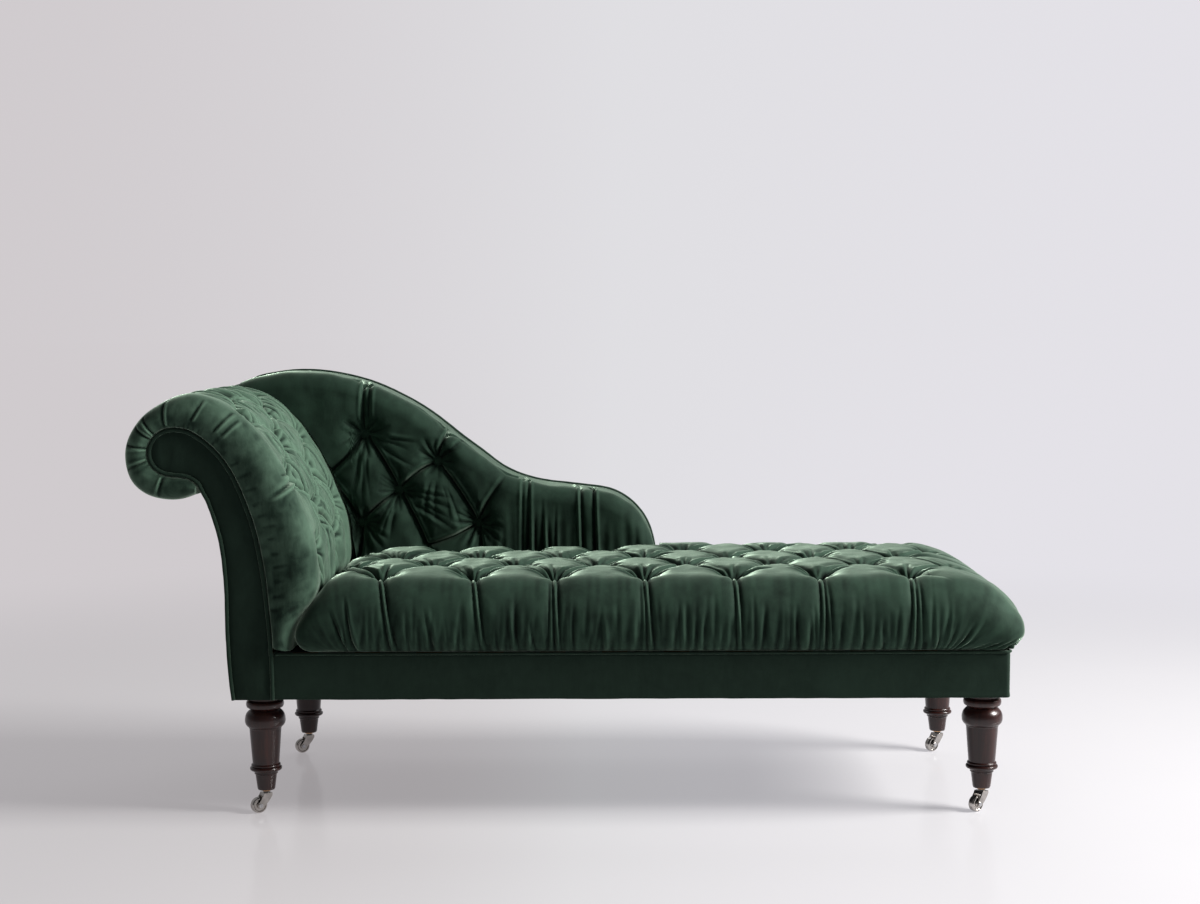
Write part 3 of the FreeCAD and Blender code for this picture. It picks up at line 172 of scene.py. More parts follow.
class Relief:
    """What the buttons, pleats and folds do to a pad's surface, over its fabric coordinates s and t."""

    def __init__(self, s, t, seed):
        self.s, self.t = np.ascontiguousarray(s), np.ascontiguousarray(t)
        self.sr, self.tr = self.s.ravel(), self.t.ravel()
        self.power = np.zeros(s.shape)
        self.crisp = np.zeros(s.shape)
        self.near = np.full(s.shape, 9.0)
        self.g = np.random.default_rng(seed)
        self.dots = []

    def window(self, s0, s1, t0, t1, pad):
        return np.nonzero((self.sr > min(s0, s1) - pad) & (self.sr < max(s0, s1) + pad) & (self.tr > min(t0, t1) - pad) & (self.tr < max(t0, t1) + pad))[0]

    def along(self, i, a, b, bow):
        vs, vt = b[0] - a[0], b[1] - a[1]
        length = math.hypot(vs, vt)
        ds, dt = self.sr[i] - a[0], self.tr[i] - a[1]
        k = (ds * vs + dt * vt) / length**2
        kc = np.clip(k, 0, 1)
        x = (dt * vs - ds * vt) / length - bow * 4 * kc * (1 - kc)
        past = np.maximum(np.maximum(-k, k - 1), 0) * length
        return kc, x, np.hypot(x, past), past

    def button(self, s, t, depth, reach, ex):
        """The funnel that a button pulls into the pad."""
        i = self.window(s, s, t, t, reach)
        d = np.hypot(self.sr[i] - s, self.tr[i] - t)
        self.power.ravel()[i] += (depth * (1 - np.clip(d / reach, 0, 1)) ** ex) ** 5
        self.near.ravel()[i] = np.minimum(self.near.ravel()[i], d)
        self.dots.append((s, t))

    def valley(self, a, b, d0, dm, d1, reach, ex=2.2, bow=0.0):
        """The broad hollow along a pleat, with its depth at the start, middle and end."""
        i = self.window(a[0], b[0], a[1], b[1], reach + abs(bow))
        k, x, d, past = self.along(i, a, b, bow)
        c = np.maximum(d0 * (1 - k) * (1 - 2 * k) + 4 * dm * k * (1 - k) + d1 * k * (2 * k - 1), 0)
        self.power.ravel()[i] += (c * (1 - np.clip(d / reach, 0, 1)) ** ex) ** 5
        self.near.ravel()[i] = np.minimum(self.near.ravel()[i], d)

    def fold(self, a, b, d0, d1, w, lip=0.35, side=1, bow=0.0, fade0=0.12, fade1=0.35):
        """A crisp fold: a narrow groove with a raised lip on one side."""
        w, d0, d1 = w * FOLD_WIDE, d0 * FOLD_DEEP, d1 * FOLD_DEEP
        i = self.window(a[0], b[0], a[1], b[1], 6 * w + abs(bow))
        k, x, d, past = self.along(i, a, b, bow)
        depth = d0 + (d1 - d0) * k
        if fade0:
            depth = depth * step_up(-0.02, fade0, k)
        if fade1:
            depth = depth * (1 - step_up(1 - fade1, 1.0, k))
        depth = depth * np.exp(-((past / (1.5 * w)) ** 2))
        groove = np.exp(-((np.abs(x) / w) ** 1.05))
        rise = np.exp(-(((side * x - 2.2 * w) / (1.25 * w)) ** 2))
        self.crisp.ravel()[i] += depth * (groove - lip * rise)

    def soft(self, a, b, d0, d1, w, bow=0.0, fade0=0.1, fade1=0.5):
        """A soft groove between two gathers."""
        i = self.window(a[0], b[0], a[1], b[1], 3 * w + abs(bow))
        k, x, d, past = self.along(i, a, b, bow)
        depth = 1.35 * (d0 + (d1 - d0) * k) * step_up(-0.02, fade0, k) * (1 - step_up(1 - fade1, 1.0, k)) * np.exp(-((past / w) ** 2))
        self.crisp.ravel()[i] += depth * np.exp(-((x / w) ** 2))

    def fan(self, s, t, spokes, inner=0.010):
        """Short pleats that fan out from a button: angle, length, depth, curl."""
        reach = max(r[1] for r in spokes) + 0.01
        i = self.window(s, s, t, t, reach)
        ds, dt = self.sr[i] - s, self.tr[i] - t
        d = np.hypot(ds, dt)
        th = np.arctan2(dt, ds)
        total = np.zeros(len(i))
        for angle, length, depth, curl in spokes:
            off = (th - angle - curl * np.maximum(d - inner, 0) / length + math.pi) % (2 * math.pi) - math.pi
            m = (np.abs(off) < 1.2) & (d < length)
            x = d[m] * np.sin(off[m])
            k = np.clip((d[m] - inner) / (length - inner), 0, 1)
            w = 0.0021 + 0.0034 * k
            amp = 1.9 * depth * step_up(0.6 * inner, 1.4 * inner, d[m]) * (1 - k) ** 0.8
            total[m] += amp * (np.exp(-((np.abs(x) / w) ** 1.05)) - 0.45 * np.exp(-(((x - 2.1 * w) / (1.2 * w)) ** 2)))
        self.crisp.ravel()[i] += total

    def star(self, s, t, blocked, count, long_, depth, bias=None):
        """Spokes at uneven angles, clear of the main pleats' directions."""
        g = self.g
        angles = np.linspace(0, 2 * math.pi, count, endpoint=False) + g.uniform(0, 6.28) + g.uniform(-0.11, 0.11, count)
        spokes = []
        for a in angles:
            gap = min([abs((a - b + math.pi) % (2 * math.pi) - math.pi) for b in blocked] + [9])
            if gap < 0.10:
                continue
            scale = g.uniform(0.55, 1.15)
            if bias is not None:
                scale *= bias(a)
            if scale < 0.2:
                continue
            spokes.append((a, max(0.020, long_ * scale), depth * g.uniform(0.6, 1.15) * min(1.0, 0.5 + 0.5 * scale), g.uniform(-0.22, 0.22)))
        if spokes:
            self.fan(s, t, spokes)

    def depth(self, deepest):
        p = self.power ** (1 / 5)
        return deepest * np.tanh(p / deepest * 1.2) / math.tanh(1.2)


def blurred(a, cells):
    """Three box blurs each way, near enough to a round one."""
    k = max(1, int(round(cells)))
    for axis in (0, 1):
        for _ in range(3):
            pad = [(k, k) if ax == axis else (0, 0) for ax in (0, 1)]
            c = np.cumsum(np.pad(a, pad, mode="edge"), axis=axis)
            c = np.concatenate([np.zeros_like(np.take(c, [0], axis=axis)), c], axis)
            n = a.shape[axis]
            hi = np.take(c, np.arange(2 * k + 1, 2 * k + 1 + n) - 0, axis=axis) if c.shape[axis] >= 2 * k + 1 + n else np.take(c, np.arange(2 * k, 2 * k + n), axis=axis)
            lo = np.take(c, np.arange(0, n), axis=axis)
            a = (hi - lo) / (2 * k + 1)
    return a


def lines(R, scale=0.0022):
    """Painted shade in the grooves and painted highlight on the ridges beside them, whatever the depth of the hollow
    they lie in.
    """
    fine = R.crisp - blurred(R.crisp, 0.0055 / GAP)
    return np.clip(fine / scale, -1.0, 1.3)


def closed_mesh(name, p, around=None, flip=False, rim=False):
    """A grid mesh. With around, extra columns lead back to the first column and the two ends are capped; with rim, one
    face closes the rim."""
    n, m, _ = p.shape
    extra = []
    if around is not None:
        p = np.concatenate([p, around], 1)
        m = p.shape[1]
        faces = quads(n, m, close_v=True)
        extra = [list(range(m)), list(range((n - 1) * m, n * m))[::-1]]
    else:
        faces = quads(n, m)
        if rim:
            loop = [i * m for i in range(n)] + [(n - 1) * m + j for j in range(1, m)] + [i * m + m - 1 for i in range(n - 2, -1, -1)] + [j for j in range(m - 2, 0, -1)]
            extra = [loop[::-1]]
    if flip:
        faces = faces[:, ::-1]
        extra = [e[::-1] for e in extra]
    verts = np.ascontiguousarray(p.reshape(-1, 3), dtype=np.float32)
    loops = np.concatenate([faces.ravel()] + [np.array(e) for e in extra]).astype(np.int32)
    starts = np.r_[np.arange(0, faces.size, 4), [faces.size + sum(len(x) for x in extra[:k]) for k in range(len(extra))]].astype(np.int32)
    me = bpy.data.meshes.new(name)
    me.vertices.add(len(verts))
    me.vertices.foreach_set("co", verts.ravel())
    me.loops.add(len(loops))
    me.loops.foreach_set("vertex_index", loops)
    me.polygons.add(len(starts))
    me.polygons.foreach_set("loop_start", starts)
    smooth = np.ones(len(starts), dtype=bool)
    if extra:
        smooth[-len(extra):] = False
    me.polygons.foreach_set("use_smooth", smooth)
    me.update(calc_edges=True)
    me.validate()
    return link(name, me)


# ---- cloth ------------------------------------------------------------------------------------------------------------
def _pull(p, w, a, b, rest, stiff):
    d = p[b] - p[a]
    length = np.sqrt((d * d).sum(-1)) + 1e-12
    wa, wb = w[a], w[b]
    c = (stiff * (length - rest) / length / (wa + wb + 1e-9))[..., None] * d
    p[a] += wa[..., None] * c
    p[b] -= wb[..., None] * c


def cloth(p0, pinned, goal, rounds, extra_u, extra_v, push, hold, bend=0.25):
    """A position-based cloth on a regular grid: threads along u and v keep their length (plus extra), diagonals resist
    shear, every other vertex resists bending, stuffing pushes outwards and holds the cloth near its goal."""
    p = p0.copy()
    n, m, _ = p.shape
    w = 1.0 - pinned
    ru = np.linalg.norm(p0[1:] - p0[:-1], axis=2) * (1 + 0.5 * (extra_u[1:] + extra_u[:-1]))
    rv = np.linalg.norm(p0[:, 1:] - p0[:, :-1], axis=2) * (1 + 0.5 * (extra_v[:, 1:] + extra_v[:, :-1]))
    e = 0.25 * (extra_u + extra_v)
    r1 = np.linalg.norm(p0[1:, 1:] - p0[:-1, :-1], axis=2) * (1 + e[1:, 1:] + e[:-1, :-1])
    r2 = np.linalg.norm(p0[1:, :-1] - p0[:-1, 1:], axis=2) * (1 + e[1:, :-1] + e[:-1, 1:])
    b_u = ru[1:] + ru[:-1]
    b_v = rv[:, 1:] + rv[:, :-1]
    S = slice
    old = p.copy()
    for k in range(rounds):
        vel = (p - old) * 0.86
        old = p.copy()
        nrm = grid_normals(p)
        p = p + vel * w[..., None] + (nrm * push[..., None]) * w[..., None]
        p += (goal - p) * (hold * w)[..., None]
        for o in (0, 1):
            _pull(p, w, (S(o, n - 1, 2), S(None)), (S(o + 1, n, 2), S(None)), ru[o::2], 0.9)
            _pull(p, w, (S(None), S(o, m - 1, 2)), (S(None), S(o + 1, m, 2)), rv[:, o::2], 0.9)
        for o in (0, 1):
            _pull(p, w, (S(o, n - 1, 2), S(0, m - 1)), (S(o + 1, n, 2), S(1, m)), r1[o::2], 0.35)
            _pull(p, w, (S(o, n - 1, 2), S(1, m)), (S(o + 1, n, 2), S(0, m - 1)), r2[o::2], 0.35)
        if bend:
            for o in range(4):
                if o < 2:
                    a, b = S(o, n - 2, 4), S(o + 2, n, 4)
                    _pull(p, w, (a, S(None)), (b, S(None)), b_u[o::4][: len(range(o + 2, n, 4))], bend)
                    a, b = S(o, m - 2, 4), S(o + 2, m, 4)
                    _pull(p, w, (S(None), a), (S(None), b), b_v[:, o::4][:, : len(range(o + 2, m, 4))], bend)
                else:
                    a, b = S(o, n - 2, 4), S(o + 2, n, 4)
                    _pull(p, w, (a, S(None)), (b, S(None)), b_u[o::4][: len(range(o + 2, n, 4))], bend)
                    a, b = S(o, m - 2, 4), S(o + 2, m, 4)
                    _pull(p, w, (S(None), a), (S(None), b), b_v[:, o::4][:, : len(range(o + 2, m, 4))], bend)
    return p


# =====================================================================================================================
# materials
# =====================================================================================================================
def material(name):
    m = bpy.data.materials.new(name)
    m.use_nodes = True
    nt = m.node_tree
    nt.nodes.clear()
    out = nt.nodes.new("ShaderNodeOutputMaterial")
    b = nt.nodes.new("ShaderNodeBsdfPrincipled")
    nt.links.new(b.outputs[0], out.inputs[0])
    return m, nt, b


def add(nt, kind, **values):
    n = nt.nodes.new(kind)
    for k, v in values.items():
        if k in n.inputs:
            n.inputs[k].default_value = v
        else:
            setattr(n, k, v)
    return n


def ramp(nt, source, stops):
    r = nt.nodes.new("ShaderNodeValToRGB")
    e = r.color_ramp.elements
    while len(e) < len(stops):
        e.new(0.5)
    for el, (at, col) in zip(e, stops):
        el.position = at
        el.color = (*col, 1)
    nt.links.new(source, r.inputs[0])
    return r.outputs[0]


def velvet(name, dark, light, seed=0.0, sheen=1.0, tint=(0.74, 0.98, 0.77), crease=True, nap_and_shade=1.0):
    m, nt, b = material(name)
    L = nt.links.new
    tc = add(nt, "ShaderNodeTexCoord")
    mp = add(nt, "ShaderNodeMapping")
    mp.inputs["Location"].default_value = (seed, seed * 0.7, seed * 1.3)
    L(tc.outputs["Object"], mp.inputs[0])
    # the pile is brushed one way in some places and the other way in others
    big = add(nt, "ShaderNodeTexNoise", Scale=5.5, Detail=3.0, Roughness=0.55, Distortion=0.9)
    L(mp.outputs[0], big.inputs["Vector"])
    mid = add(nt, "ShaderNodeTexNoise", Scale=26.0, Detail=4.0, Roughness=0.6, Distortion=1.2)
    L(mp.outputs[0], mid.inputs["Vector"])
    stretch = add(nt, "ShaderNodeMapping")
    stretch.inputs["Scale"].default_value = (150, 150, 32)
    L(tc.outputs["Object"], stretch.inputs[0])
    streak = add(nt, "ShaderNodeTexNoise", Scale=1.0, Detail=3.0, Roughness=0.6)
    L(stretch.outputs[0], streak.inputs["Vector"])
    fine = add(nt, "ShaderNodeTexNoise", Scale=950.0, Detail=2.0, Roughness=0.7)
    L(tc.outputs["Object"], fine.inputs["Vector"])
    # the pile's own random tone; the last argument sets how strongly it varies
    mix1 = add(nt, "ShaderNodeMath", operation="MULTIPLY_ADD")
    L(big.outputs[0], mix1.inputs[0]); mix1.inputs[1].default_value = 0.50 * nap_and_shade
    mul2 = add(nt, "ShaderNodeMath", operation="MULTIPLY_ADD")
    L(mid.outputs[0], mul2.inputs[0]); mul2.inputs[1].default_value = 0.34 * nap_and_shade
    mul3 = add(nt, "ShaderNodeMath", operation="MULTIPLY_ADD")
    L(streak.outputs[0], mul3.inputs[0]); mul3.inputs[1].default_value = 0.22 * nap_and_shade
    mul4 = add(nt, "ShaderNodeMath", operation="MULTIPLY_ADD")
    L(fine.outputs[0], mul4.inputs[0]); mul4.inputs[1].default_value = 0.26
    mul4.inputs[2].default_value = 0.34 - 0.53 * nap_and_shade
    L(mul4.outputs[0], mul3.inputs[2]); L(mul3.outputs[0], mul2.inputs[2]); L(mul2.outputs[0], mix1.inputs[2])
    value = mix1.outputs[0]
    # painted shade and highlight: the vertex attribute darkens the base colour in creases and hollows and lightens it
    # on ridges and lit parts
    if crease:
        at = add(nt, "ShaderNodeAttribute", attribute_name="nap_and_shade")
        both = add(nt, "ShaderNodeMath", operation="MULTIPLY_ADD")
        L(at.outputs["Fac"], both.inputs[0]); both.inputs[1].default_value = 0.62
        shift = add(nt, "ShaderNodeMath", operation="ADD"); shift.inputs[1].default_value = -0.31
        L(value, shift.inputs[0]); L(shift.outputs[0], both.inputs[2])
        value = both.outputs[0]
    # the nearly black lowest stop is painted shade for the deepest creases
    col = ramp(nt, value, [(0.0, tuple(0.12 * a for a in dark)), (0.16, dark), (0.52, tuple(0.5 * (a + c) for a, c in zip(dark, light))), (0.95, light)])
    L(col, b.inputs["Base Color"])
    rough = add(nt, "ShaderNodeMapRange"); rough.inputs["To Min"].default_value = 0.92; rough.inputs["To Max"].default_value = 0.68
    L(value, rough.inputs[0]); L(rough.outputs[0], b.inputs["Roughness"])
    b.inputs["Specular IOR Level"].default_value = 0.12
    b.inputs["Sheen Weight"].default_value = sheen
    b.inputs["Sheen Roughness"].default_value = 0.30
    b.inputs["Sheen Tint"].default_value = (*tint, 1)
    bump = add(nt, "ShaderNodeBump", Strength=0.22, Distance=0.0006)
    L(fine.outputs[0], bump.inputs["Height"])
    bump2 = add(nt, "ShaderNodeBump", Strength=0.30, Distance=0.0016)
    L(mid.outputs[0], bump2.inputs["Height"]); L(bump.outputs[0], bump2.inputs["Normal"])
    L(bump2.outputs[0], b.inputs["Normal"])
    return m


def turned_wood():
    m, nt, b = material("mahogany_polish")
    L = nt.links.new
    tc = add(nt, "ShaderNodeTexCoord")
    mp = add(nt, "ShaderNodeMapping")
    mp.inputs["Scale"].default_value = (95, 95, 9)
    L(tc.outputs["Object"], mp.inputs[0])
    grain = add(nt, "ShaderNodeTexNoise", Scale=1.0, Detail=7.0, Roughness=0.62, Distortion=0.7)
    L(mp.outputs[0], grain.inputs["Vector"])
    mp2 = add(nt, "ShaderNodeMapping")
    mp2.inputs["Scale"].default_value = (620, 620, 34)
    L(tc.outputs["Object"], mp2.inputs[0])
    pores = add(nt, "ShaderNodeTexNoise", Scale=1.0, Detail=3.0, Roughness=0.6)
    L(mp2.outputs[0], pores.inputs["Vector"])
    blotch = add(nt, "ShaderNodeTexNoise", Scale=22.0, Detail=3.0, Roughness=0.5)
    L(tc.outputs["Object"], blotch.inputs["Vector"])
    a = add(nt, "ShaderNodeMath", operation="MULTIPLY_ADD")
    L(grain.outputs[0], a.inputs[0]); a.inputs[1].default_value = 0.75
    c = add(nt, "ShaderNodeMath", operation="MULTIPLY_ADD")
    L(blotch.outputs[0], c.inputs[0]); c.inputs[1].default_value = 0.35; c.inputs[2].default_value = -0.05
    L(c.outputs[0], a.inputs[2])
    col = ramp(nt, a.outputs[0], [(0.22, (0.0060, 0.0020, 0.0018)), (0.50, (0.0180, 0.0050, 0.0040)), (0.82, (0.052, 0.0135, 0.0085))])
    L(col, b.inputs["Base Color"])
    r = add(nt, "ShaderNodeMapRange"); r.inputs["To Min"].default_value = 0.22; r.inputs["To Max"].default_value = 0.40
    L(blotch.outputs[0], r.inputs[0]); L(r.outputs[0], b.inputs["Roughness"])
    b.inputs["Specular IOR Level"].default_value = 0.36
    b.inputs["Coat Weight"].default_value = 0.22
    b.inputs["Coat Roughness"].default_value = 0.16
    bump = add(nt, "ShaderNodeBump", Strength=0.16, Distance=0.0004)
    L(pores.outputs[0], bump.inputs["Height"]); L(bump.outputs[0], b.inputs["Normal"])
    return m


def raw_wood():
    m, nt, b = material("beech_frame")
    L = nt.links.new
    tc = add(nt, "ShaderNodeTexCoord")
    mp = add(nt, "ShaderNodeMapping")
    mp.inputs["Scale"].default_value = (6, 90, 90)
    L(tc.outputs["Object"], mp.inputs[0])
    g = add(nt, "ShaderNodeTexNoise", Scale=1.0, Detail=6.0, Roughness=0.6, Distortion=0.6)
    L(mp.outputs[0], g.inputs["Vector"])
    L(ramp(nt, g.outputs[0], [(0.3, (0.36, 0.21, 0.10)), (0.7, (0.56, 0.37, 0.20))]), b.inputs["Base Color"])
    b.inputs["Roughness"].default_value = 0.72
    bump = add(nt, "ShaderNodeBump", Strength=0.2, Distance=0.0005)
    L(g.outputs[0], bump.inputs["Height"]); L(bump.outputs[0], b.inputs["Normal"])
    return m


def metal(name, a, c, rough_lo, rough_hi, scratch=220.0):
    m, nt, b = material(name)
    L = nt.links.new
    tc = add(nt, "ShaderNodeTexCoord")
    n1 = add(nt, "ShaderNodeTexNoise", Scale=60.0, Detail=4.0, Roughness=0.6)
    n2 = add(nt, "ShaderNodeTexNoise", Scale=scratch, Detail=2.0, Roughness=0.7, Distortion=2.0)
    for n in (n1, n2):
        L(tc.outputs["Object"], n.inputs["Vector"])
    L(ramp(nt, n1.outputs[0], [(0.3, a), (0.75, c)]), b.inputs["Base Color"])
    b.inputs["Metallic"].default_value = 1.0
    r = add(nt, "ShaderNodeMapRange"); r.inputs["To Min"].default_value = rough_lo; r.inputs["To Max"].default_value = rough_hi
    L(n2.outputs[0], r.inputs[0]); L(r.outputs[0], b.inputs["Roughness"])
    bump = add(nt, "ShaderNodeBump", Strength=0.06, Distance=0.0002)
    L(n2.outputs[0], bump.inputs["Height"]); L(bump.outputs[0], b.inputs["Normal"])
    return m


def woven(name, a, c, pitch):
    m, nt, b = material(name)
    L = nt.links.new
    tc = add(nt, "ShaderNodeTexCoord")
    w1 = add(nt, "ShaderNodeTexWave", Scale=pitch, Distortion=0.6, Detail=2.0)
    w2 = add(nt, "ShaderNodeTexWave", Scale=pitch, Distortion=0.6, Detail=2.0, bands_direction="Y")
    for w in (w1, w2):
        L(tc.outputs["Object"], w.inputs["Vector"])
    mul = add(nt, "ShaderNodeMath", operation="MULTIPLY")
    L(w1.outputs["Fac"], mul.inputs[0]); L(w2.outputs["Fac"], mul.inputs[1])
    noise = add(nt, "ShaderNodeTexNoise", Scale=14.0, Detail=5.0, Roughness=0.6)
    L(tc.outputs["Object"], noise.inputs["Vector"])
    mix = add(nt, "ShaderNodeMath", operation="MULTIPLY_ADD")
    L(noise.outputs[0], mix.inputs[0]); mix.inputs[1].default_value = 0.7
    L(mul.outputs[0], mix.inputs[2])
    L(ramp(nt, mix.outputs[0], [(0.15, a), (0.95, c)]), b.inputs["Base Color"])
    b.inputs["Roughness"].default_value = 0.93
    b.inputs["Specular IOR Level"].default_value = 0.15
    bump = add(nt, "ShaderNodeBump", Strength=0.4, Distance=0.0004)
    L(mul.outputs[0], bump.inputs["Height"]); L(bump.outputs[0], b.inputs["Normal"])
    return m


DARK, LIGHT = (0.0040, 0.0110, 0.0072), (0.0210, 0.0480, 0.0310)
V_SEAT = velvet("velvet_seat", DARK, LIGHT, 0.0)
# the head's velvet is a lighter copy of the seat's: painted light for the key light falling on the head's inside face
V_HEAD_PAINTED_LIGHT = velvet("velvet_head_painted_light", (0.0070, 0.0180, 0.0118), (0.0850, 0.1500, 0.1040), 3.1)
V_BACK = velvet("velvet_back", DARK, LIGHT, 5.7)
V_FLAT = velvet("velvet_flat", (0.0040, 0.0105, 0.0070), (0.0135, 0.0300, 0.0200), 8.3, crease=False, nap_and_shade=0.9)
V_PIPE = velvet("velvet_piping", (0.0045, 0.0115, 0.0075), (0.0185, 0.0400, 0.0265), 11.0, sheen=0.6, crease=False)
V_KNOB = velvet("velvet_buttons", (0.0055, 0.0140, 0.0090), (0.0260, 0.0560, 0.0360), 13.0, sheen=0.7, crease=False)
WOOD = turned_wood()
RAW = raw_wood()
CHROME = metal("castor_chrome", (0.34, 0.32, 0.30), (0.56, 0.53, 0.50), 0.07, 0.20)
BRASS = metal("castor_copper", (0.70, 0.36, 0.16), (0.90, 0.56, 0.30), 0.12, 0.28)
STEEL = metal("fastener_steel", (0.42, 0.42, 0.43), (0.60, 0.60, 0.61), 0.28, 0.45)
WEB = woven("jute_webbing", (0.20, 0.13, 0.06), (0.46, 0.34, 0.19), 180.0)
LINING = woven("black_lining", (0.010, 0.010, 0.012), (0.038, 0.038, 0.042), 260.0)
FOAM = woven("foam", (0.55, 0.50, 0.36), (0.78, 0.73, 0.58), 120.0)

SLOTS = {"frame_wood": RAW, "velvet": V_FLAT, "piping": V_PIPE, "button_velvet": V_KNOB, "foam": FOAM, "webbing": WEB, "lining": LINING, "turned_wood": WOOD,
         "steel": STEEL, "castor_metal": CHROME, "castor_socket": BRASS, "castor_pin": STEEL}
for part in frame["record"]["subparts"]:
    o = NODES[part["node"]]
    o.data.materials.clear()
    o.data.materials.append(SLOTS[part["material_slot"]])


def dress(o, mat, slot, *nodes):
    o.data.materials.clear()
    o.data.materials.append(mat)
    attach(o, "couch")
    if nodes:
        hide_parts(*nodes)
    return o


# =====================================================================================================================
# seat pad
# =====================================================================================================================
GAP = 0.0024
Z0 = 0.3312
CROWN = 0.4835
SEAT_ROWS = {-0.240: (-0.393, -0.207, -0.044, 0.135, 0.313, 0.484, 0.665), -0.115: (-0.470, -0.298, -0.128, 0.040, 0.222, 0.404, 0.588, 0.772),
             0.010: (-0.385, -0.212, -0.036, 0.135, 0.318, 0.496, 0.678), 0.135: (-0.470, -0.292, -0.118, 0.048, 0.226, 0.406, 0.588, 0.766),
             0.260: (0.330, 0.500, 0.688)}


def seat_base():
    long_ = natural([(-0.528, Z0), (-0.5435, 0.3395), (-0.5545, 0.355), (-0.5555, 0.376), (-0.545, 0.402), (-0.526, 0.426), (-0.508, 0.447), (-0.492, 0.467), (-0.468, 0.4785), (-0.430, 0.4830),
                     (-0.30, CROWN), (0.0, CROWN), (0.40, CROWN), (0.62, 0.4830), (0.700, 0.4812), (0.760, 0.4745), (0.812, 0.4590), (0.852, 0.4350), (0.876, 0.4050), (0.8845, 0.3780),
                     (0.881, 0.3560), (0.869, 0.3405), (0.855, Z0)], step=GAP)
    cross = natural([(-0.318, Z0), (-0.3330, 0.3395), (-0.3430, 0.3550), (-0.3455, 0.3750), (-0.3450, 0.398), (-0.3375, 0.425), (-0.320, 0.4505), (-0.293, 0.4705), (-0.255, 0.4785), (-0.205, 0.4830), (-0.12, CROWN),
                     (0.0, CROWN), (0.12, CROWN), (0.205, 0.4830), (0.255, 0.4785), (0.293, 0.4705), (0.320, 0.4505), (0.3375, 0.425), (0.3450, 0.398), (0.3455, 0.3750), (0.3430, 0.3550), (0.3330, 0.3395), (0.318, Z0)], step=GAP)
    lu, lv = arc(long_), arc(cross)
    iu = np.argmin(np.abs(long_[:, 0] - 0.1))
    lu = lu - lu[iu] + long_[iu, 0]
    lv = lv - lv[-1] / 2
    U, V = np.meshgrid(lu, lv, indexing="ij")
    X, Y = np.meshgrid(long_[:, 0], cross[:, 0], indexing="ij")
    ZL, ZC = np.meshgrid(long_[:, 1], cross[:, 1], indexing="ij")
    Z = np.minimum(ZL, ZC) - 0.25 * np.maximum(CROWN - np.maximum(ZL, ZC), 0) * (np.minimum(ZL, ZC) - Z0) / (CROWN - Z0)

    # the corners go round in plan: rings of the profile about the point where its bend begins
    def corner(x0, sx, y0, sy, squareness):
        nonlocal X, Y, Z
        side_u = (X - x0) * sx > 0 if True else None
        iu_ = int(np.argmin(np.abs(long_[:, 0] - x0) + (1 if False else 0)))
        jv_ = int(np.argmin(np.abs(cross[:, 0] - y0)))
        lend = lu[-1] if sx > 0 else lu[0]
        vend = lv[-1] if sy > 0 else lv[0]
        a = (U - lu[iu_]) / (lend - lu[iu_])
        b = (V - lv[jv_]) / (vend - lv[jv_])
        m = (a > 0) & (b > 0)
        a, b = np.clip(a[m], 0, 1), np.clip(b[m], 0, 1)
        u = a * np.sqrt(1 - b * b / 2)
        v = b * np.sqrt(1 - a * a / 2)
        ring = np.clip(np.hypot(u, v), 0, 1)
        ph = np.arctan2(v, u)
        sq = squareness + 6.0 * step_up(0.60, 1.0, ring)
        k = (np.abs(np.cos(ph)) ** sq + np.abs(np.sin(ph)) ** sq) ** (-1 / sq)
        la = np.abs(lu - lu[iu_]) / abs(lend - lu[iu_])
        lb = np.abs(lv - lv[jv_]) / abs(vend - lv[jv_])
        ua = (lu - lu[iu_]) * sx >= 0
        vb = (lv - lv[jv_]) * sy >= 0
        oa, ob = np.argsort(la[ua]), np.argsort(lb[vb])
        rx = np.interp(ring, la[ua][oa], (long_[ua, 0][oa] - long_[iu_, 0]) * sx)
        zx = np.interp(ring, la[ua][oa], long_[ua, 1][oa])
        ry = np.interp(ring, lb[vb][ob], (cross[vb, 0][ob] - cross[jv_, 0]) * sy)
        zy = np.interp(ring, lb[vb][ob], cross[vb, 1][ob])
        X[m] = long_[iu_, 0] + sx * rx * np.cos(ph) * k
        Y[m] = cross[jv_, 0] + sy * ry * np.sin(ph) * k
        c2 = np.cos(ph) ** 2
        Z[m] = zx * c2 + zy * (1 - c2)

    corner(0.700, 1, -0.215, -1, 3.4)
    corner(0.700, 1, 0.215, 1, 3.4)
    corner(-0.440, -1, -0.240, -1, 4.2)
    return np.stack([X, Y, Z], -1), U, V


